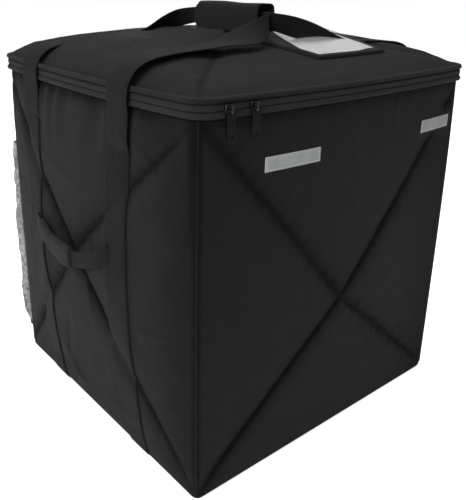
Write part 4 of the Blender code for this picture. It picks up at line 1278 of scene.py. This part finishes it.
# ---------------------------------------------------------------- carry loops
def loop_knots(side, sx):
    """Middle line of a carry loop from the top of the front strap to that of the back one."""
    rise = [(0.3015, 0.130, 0.5450), (0.3022, 0.130, 0.5700), (0.2975, 0.130, 0.5885),
            (0.2840, 0.130, 0.6050)]
    over = [(0.2580, 0.130, 0.6150), (0.2200, 0.130, 0.6195), (0.1800, 0.129, 0.6215),
            (0.1400, 0.127, 0.6235), (0.1000, 0.124, 0.6275), (0.0600, 0.120, 0.6350),
            (0.0240, 0.112, 0.6440), (0.0040, 0.096, 0.6492), (0.0035, 0.073, 0.6500)]
    feet = []
    for y in (-STRAP_Y, STRAP_Y):
        along = y if side == "right" else -y
        foot, _ = on_wall(side, np.array([along, along]), np.array([STRAP_TOP - 0.0004, 0.515]),
                          np.array([0.0015, 0.0026]))
        feet.append(foot)
    half = np.array([(sx * x, y, z) for x, y, z in rise + over])
    sink = 0.0060 * np.exp(-((np.abs(half[:, 0]) - 0.19) / 0.115) ** 4)
    low = half - sink[:, None] * [0, 0, 1]
    front = [feet[0][0], feet[0][1]] + list((low if sx > 0 else half) * [1, -1, 1])
    back = [feet[1][0], feet[1][1]] + list(low)
    return np.array(front + [np.array((sx * 0.0035, GRIP_Y, GRIP_Z))] + back[::-1]), len(rise) + 2


def build_loops():
    """Both carry loops: a riser at each end and the free loop between them."""
    for side, sx in (("left", -1), ("right", 1)):
        knots, rise = loop_knots(side, sx)
        steps = 14
        route = curve_through(knots, steps)
        ahead = unit(np.gradient(route, axis=0))
        count = len(knots) - 1
        t = np.arange(len(route)) / steps
        near = np.minimum(t, count - t)
        turn = smooth_step((near - rise - 3.0) / 4.2)
        way = np.where(t < count / 2, 1.0, -1.0)
        angle = turn * math.pi / 2
        across = np.stack([0 * t, way * np.cos(angle), sx * -np.sin(angle)], 1)
        across = unit(across - ahead * (across * ahead).sum(1)[:, None])
        normal = np.cross(ahead, across)
        gather = 1 - 0.46 * turn
        split = 2 * steps - 3
        sections = [("front_riser", slice(0, split + 1), "front"),
                    ("carry_loop", slice(split, len(route) - split), None),
                    ("back_riser", slice(len(route) - split - 1, len(route)), "back")]
        for label, part, end in sections:
            soup, threads = Soup(), Soup()
            strap_shell(soup, route[part], across[part], normal[part], STRAP_HALF,
                        STRAP_THICK, gather[part])
            for w in SEW_LINES:
                line = route[part] + across[part] * (gather[part] * w * STRAP_HALF)[:, None]
                for face in (1, -1):
                    out = normal[part] * face
                    stitches(threads, line + out * (STRAP_THICK / 2), out)
            web = soup.piece(side + "_" + label + "_webbing", "webbing")
            sewn = threads.piece(side + "_" + label + "_stitching", "thread")
            if end:
                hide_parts(side + "_" + end + "_riser")
                for piece in (web, sewn):
                    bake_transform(piece)
            else:
                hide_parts(side + "_bight")
                for piece in (web, sewn):
                    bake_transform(piece)


def build_grip():
    """The padded wrap that holds the loops together, with its folded closing flap."""
    centre = np.array([0.0, GRIP_Y, GRIP_Z])
    half_x, half_z, wall = 0.0150, 0.0215, 0.0026
    angle = np.linspace(0, 2 * math.pi, 40, endpoint=False)

    def ring(grow, y, lift=0.0, power=0.42):
        c, s = np.cos(angle), np.sin(angle)
        x = (half_x + grow) * np.sign(c) * np.abs(c) ** power
        z = (half_z + grow) * np.sign(s) * np.abs(s) ** power
        return np.stack([x, np.full(len(angle), y), z + lift], 1) + [centre[0], 0, centre[2]]

    stations = np.linspace(-0.078, 0.082, 40)
    rng = np.random.default_rng(3)
    pads = soft_folds(np.broadcast_to(angle[None], (40, 40)) * 0.012 - 0.036,
                      np.broadcast_to(stations[:, None], (40, 40)), rng, 30, 0.04, 0.08, 0.0008)
    rows = []
    for k, y in enumerate(stations):
        end = abs(y - 0.002) / 0.080
        swell = 0.0012 * (1 - end ** 6) - 0.0016 * max(0.0, end - 0.985) / 0.015
        base = ring(-0.0008 + swell, y + centre[1])
        outward = unit(base - [centre[0], y + centre[1], centre[2]])
        rows.append(base + outward * pads[k][:, None] * (1 - end ** 8))
    for y in stations[::-1]:
        rows.append(ring(-wall, y + centre[1]))
    soup = Soup()
    loop_shell(soup, np.array(rows), closed=True)
    wrap = soup.piece("grip_pad", "nylon", sharp=40)
    fit(wrap, "left_bight", "nylon", "grip_wrap")

    # the flap starts under the pad's right side, comes over the top and closes on the left
    turn = np.linspace(-0.15 * math.pi, 1.16 * math.pi, 46)
    c, s = np.cos(turn), np.sin(turn)
    y = np.linspace(-0.0860, 0.0640, 30)
    grids = []
    for grow in (0.0040, 0.0018):
        x = (half_x + grow) * np.sign(c) * np.abs(c) ** 0.40
        z = (half_z + grow) * np.sign(s) * np.abs(s) ** 0.40
        grid = np.zeros((len(y), len(turn), 3))
        grid[..., 0] = x
        grid[..., 1] = y[:, None]
        grid[..., 2] = centre[2] + z + 0.0006 * np.sin(y[:, None] * 60)
        grids.append(grid)
    soup = Soup()
    slab(soup, grids[0], grids[1])
    fit(soup.piece("grip_flap", "nylon", sharp=40), "left_bight", "nylon",
        "grip_wrap_closure")
    threads = Soup()
    for col in (3, 42):
        stitches(threads, grids[0][:, col], unit(grids[0][:, col] - [0, 0, centre[2]])
                 * [1, 0, 1], pitch=0.0036)
    for row in (1, -2):
        line = grids[0][row, 3:43]
        stitches(threads, line, unit((line - [0, 0, centre[2]]) * [1, 0, 1]), pitch=0.0036)
    fit(threads.piece("grip_stitching", "thread"), "left_bight", "webbing")


# ---------------------------------------------------------------- side handles
def handle_route(side, sx, t):
    """Middle line of a side grab handle; t runs from -1 at the front to 1 at the back."""
    y = np.where(t < 0, 0.112, 0.130) * t
    sag = (1 - t * t) * (1 - 0.40 * t)
    half_out = SIDES[side][1]
    start = half_out + wall_bow(side, np.array(STRAP_Y), np.array(HANDLE_Z))
    surface = np.maximum(start, half_out + wall_bow(side, y, HANDLE_Z + 0 * y))
    out = surface + HANDLE_CLEAR + STRAP_THICK + HANDLE_BULGE * sag ** 0.6
    z = HANDLE_Z - HANDLE_HALF - 0.0005 - HANDLE_TILT * (1 + t) - HANDLE_SAG * sag
    return np.stack([sx * out, y, z], -1)


def handle_frame(side, sx, t):
    """The handle's middle line, with its upward and outward directions."""
    route = handle_route(side, sx, t)
    ahead = unit(np.gradient(route, axis=0))
    up = unit(np.array([[0, 0, 1.0]]) - ahead * ahead[:, 2:])
    out = np.cross(ahead, up)
    return route, up, out * np.sign(out[:, :1] * sx)


def build_handle(side, sx):
    """A side grab handle: webbing sewn down at both ends, in a padded sleeve."""
    body = side + "_handle"
    route, up, out = handle_frame(side, sx, np.linspace(-1, 1, 90))
    soup, threads = Soup(), Soup()
    strap_shell(soup, route, up, out, HANDLE_HALF, HANDLE_THICK)
    fit(soup.piece(side + "_handle_webbing", "webbing"), body, "webbing", side + "_grab_strap")
    for w in (-0.82, 0.82):
        for part in (slice(11, 30), slice(76, 82)):
            line = route[part] + up[part] * w * HANDLE_HALF + out[part] * HANDLE_THICK / 2
            stitches(threads, line, out[part], pitch=0.0036)
    low, high = (0.034 - 0.065) / STRAP_Y, (0.034 + 0.065) / STRAP_Y
    route, up, out = handle_frame(side, sx, np.linspace(low, high, 56))
    angle = np.linspace(0, 2 * math.pi, 28, endpoint=False)
    end = np.abs(np.linspace(-1, 1, 56))
    full = (1 - end ** 10) ** 0.35 * 0.35 + 0.65
    pads = soft_folds(np.broadcast_to(angle[None] * 0.01 - 0.03, (56, 28)),
                      np.broadcast_to(np.linspace(-0.065, 0.065, 56)[:, None], (56, 28)),
                      np.random.default_rng(61), 26, 0.032, 0.06, 0.0009)
    c, s = np.cos(angle), np.sin(angle)
    tall = (HANDLE_HALF + 0.0048) * np.sign(s) * np.abs(s) ** 0.75
    deep = (HANDLE_THICK / 2 + 0.0056) * np.sign(c) * np.abs(c) ** 0.85
    seam = np.exp(-((angle - 1.5 * math.pi) / 0.16) ** 2)
    grow = 1 + pads / 0.012 - 0.10 * seam[None]
    grid = (route[:, None] + up[:, None] * (tall * grow * full[:, None])[..., None]
            + out[:, None] * (deep * grow * full[:, None])[..., None])
    soup = Soup()
    # the sleeve is marked worn overall and most on its lower half: partly its own lighter tone,
    # partly a painted highlight
    loop_shell(soup, grid, worn=np.broadcast_to(0.5 + np.clip(-s, 0, 1) * 0.7, (56, 28)))
    sleeve = soup.piece(side + "_handle_pad", "padding")
    fit(sleeve, body, "nylon", side + "_grab_sleeve")
    line = grid[2:-2, 24] + (grid[2:-2, 24] - route[2:-2]) * 0.02
    stitches(threads, line, unit(grid[2:-2, 24] - route[2:-2]))
    fit(threads.piece(side + "_handle_stitching", "thread"), body, "webbing")


# ---------------------------------------------------------------- zip pulls
def build_pulls():
    """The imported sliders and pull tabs, with softened edges and black metal."""
    for side in ("left", "right"):
        for part, size in (("_slider", 0.0005), ("_pull_tab", 0.0004)):
            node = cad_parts[side + part]
            node.data.materials.clear()
            node.data.materials.append(MATERIALS["slider_metal" if part == "_slider" else "metal"])
            soften = node.modifiers.new("soften", "BEVEL")
            soften.width = size
            soften.segments = 3
            soften.limit_method = "ANGLE"
            soften.angle_limit = math.radians(35)
            soften.harden_normals = True


def dress_hidden():
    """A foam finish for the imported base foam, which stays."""
    foam = Nodes("open_foam")
    _, _, place = foam.places()
    cell = foam.noise(place, 420.0, 2.0)
    tone = foam.level(0.5, (cell, 1.0))
    foam.set(Base_Color=foam.mix(tone, (0.42, 0.42, 0.40), (0.66, 0.66, 0.64)),
             Roughness=0.95, Normal=foam.bump(cell, 0.0006))
    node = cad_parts["base_foam"]
    node.data.materials.clear()
    node.data.materials.append(foam.material)


def make_floor():
    """A sheet of white paper under the bag."""
    mesh = bpy.data.meshes.new("floor")
    size = 6.0
    mesh.from_pydata([(-size, -size, 0), (size, -size, 0), (size, size, 0), (-size, size, 0)],
                     [], [(0, 1, 2, 3)])
    mesh.materials.append(floor_paper())
    floor = bpy.data.objects.new("floor", mesh)
    floor.location.z = -0.0002
    SCENE.collection.objects.link(floor)


# ---------------------------------------------------------------- assembly
make_camera()
make_studio()
make_floor()
for name in ORDER:
    build_wall(name)
build_base()
build_corner_welts()
build_liner()
build_rim()
build_lid()
build_hinge()
build_ticket_pocket()
body_threads = Soup()
build_sewn_straps(body_threads)
fit(body_threads.piece("strap_stitching", "thread"), "body", "webbing")
for label, (at_x, at_z, size) in REFLECTORS.items():
    sewn_patch = build_reflector(label, at_x, at_z, size)
    fit(sewn_patch.piece(label + "_stitching", "thread"), "body", "reflector")
pocket_threads = build_back_pocket()
fit(pocket_threads.piece("back_pocket_stitching", "thread"), "body", "piping")
build_loops()
build_grip()
for name, direction in (("left", -1), ("right", 1)):
    build_handle(name, direction)
build_pulls()
dress_hidden()
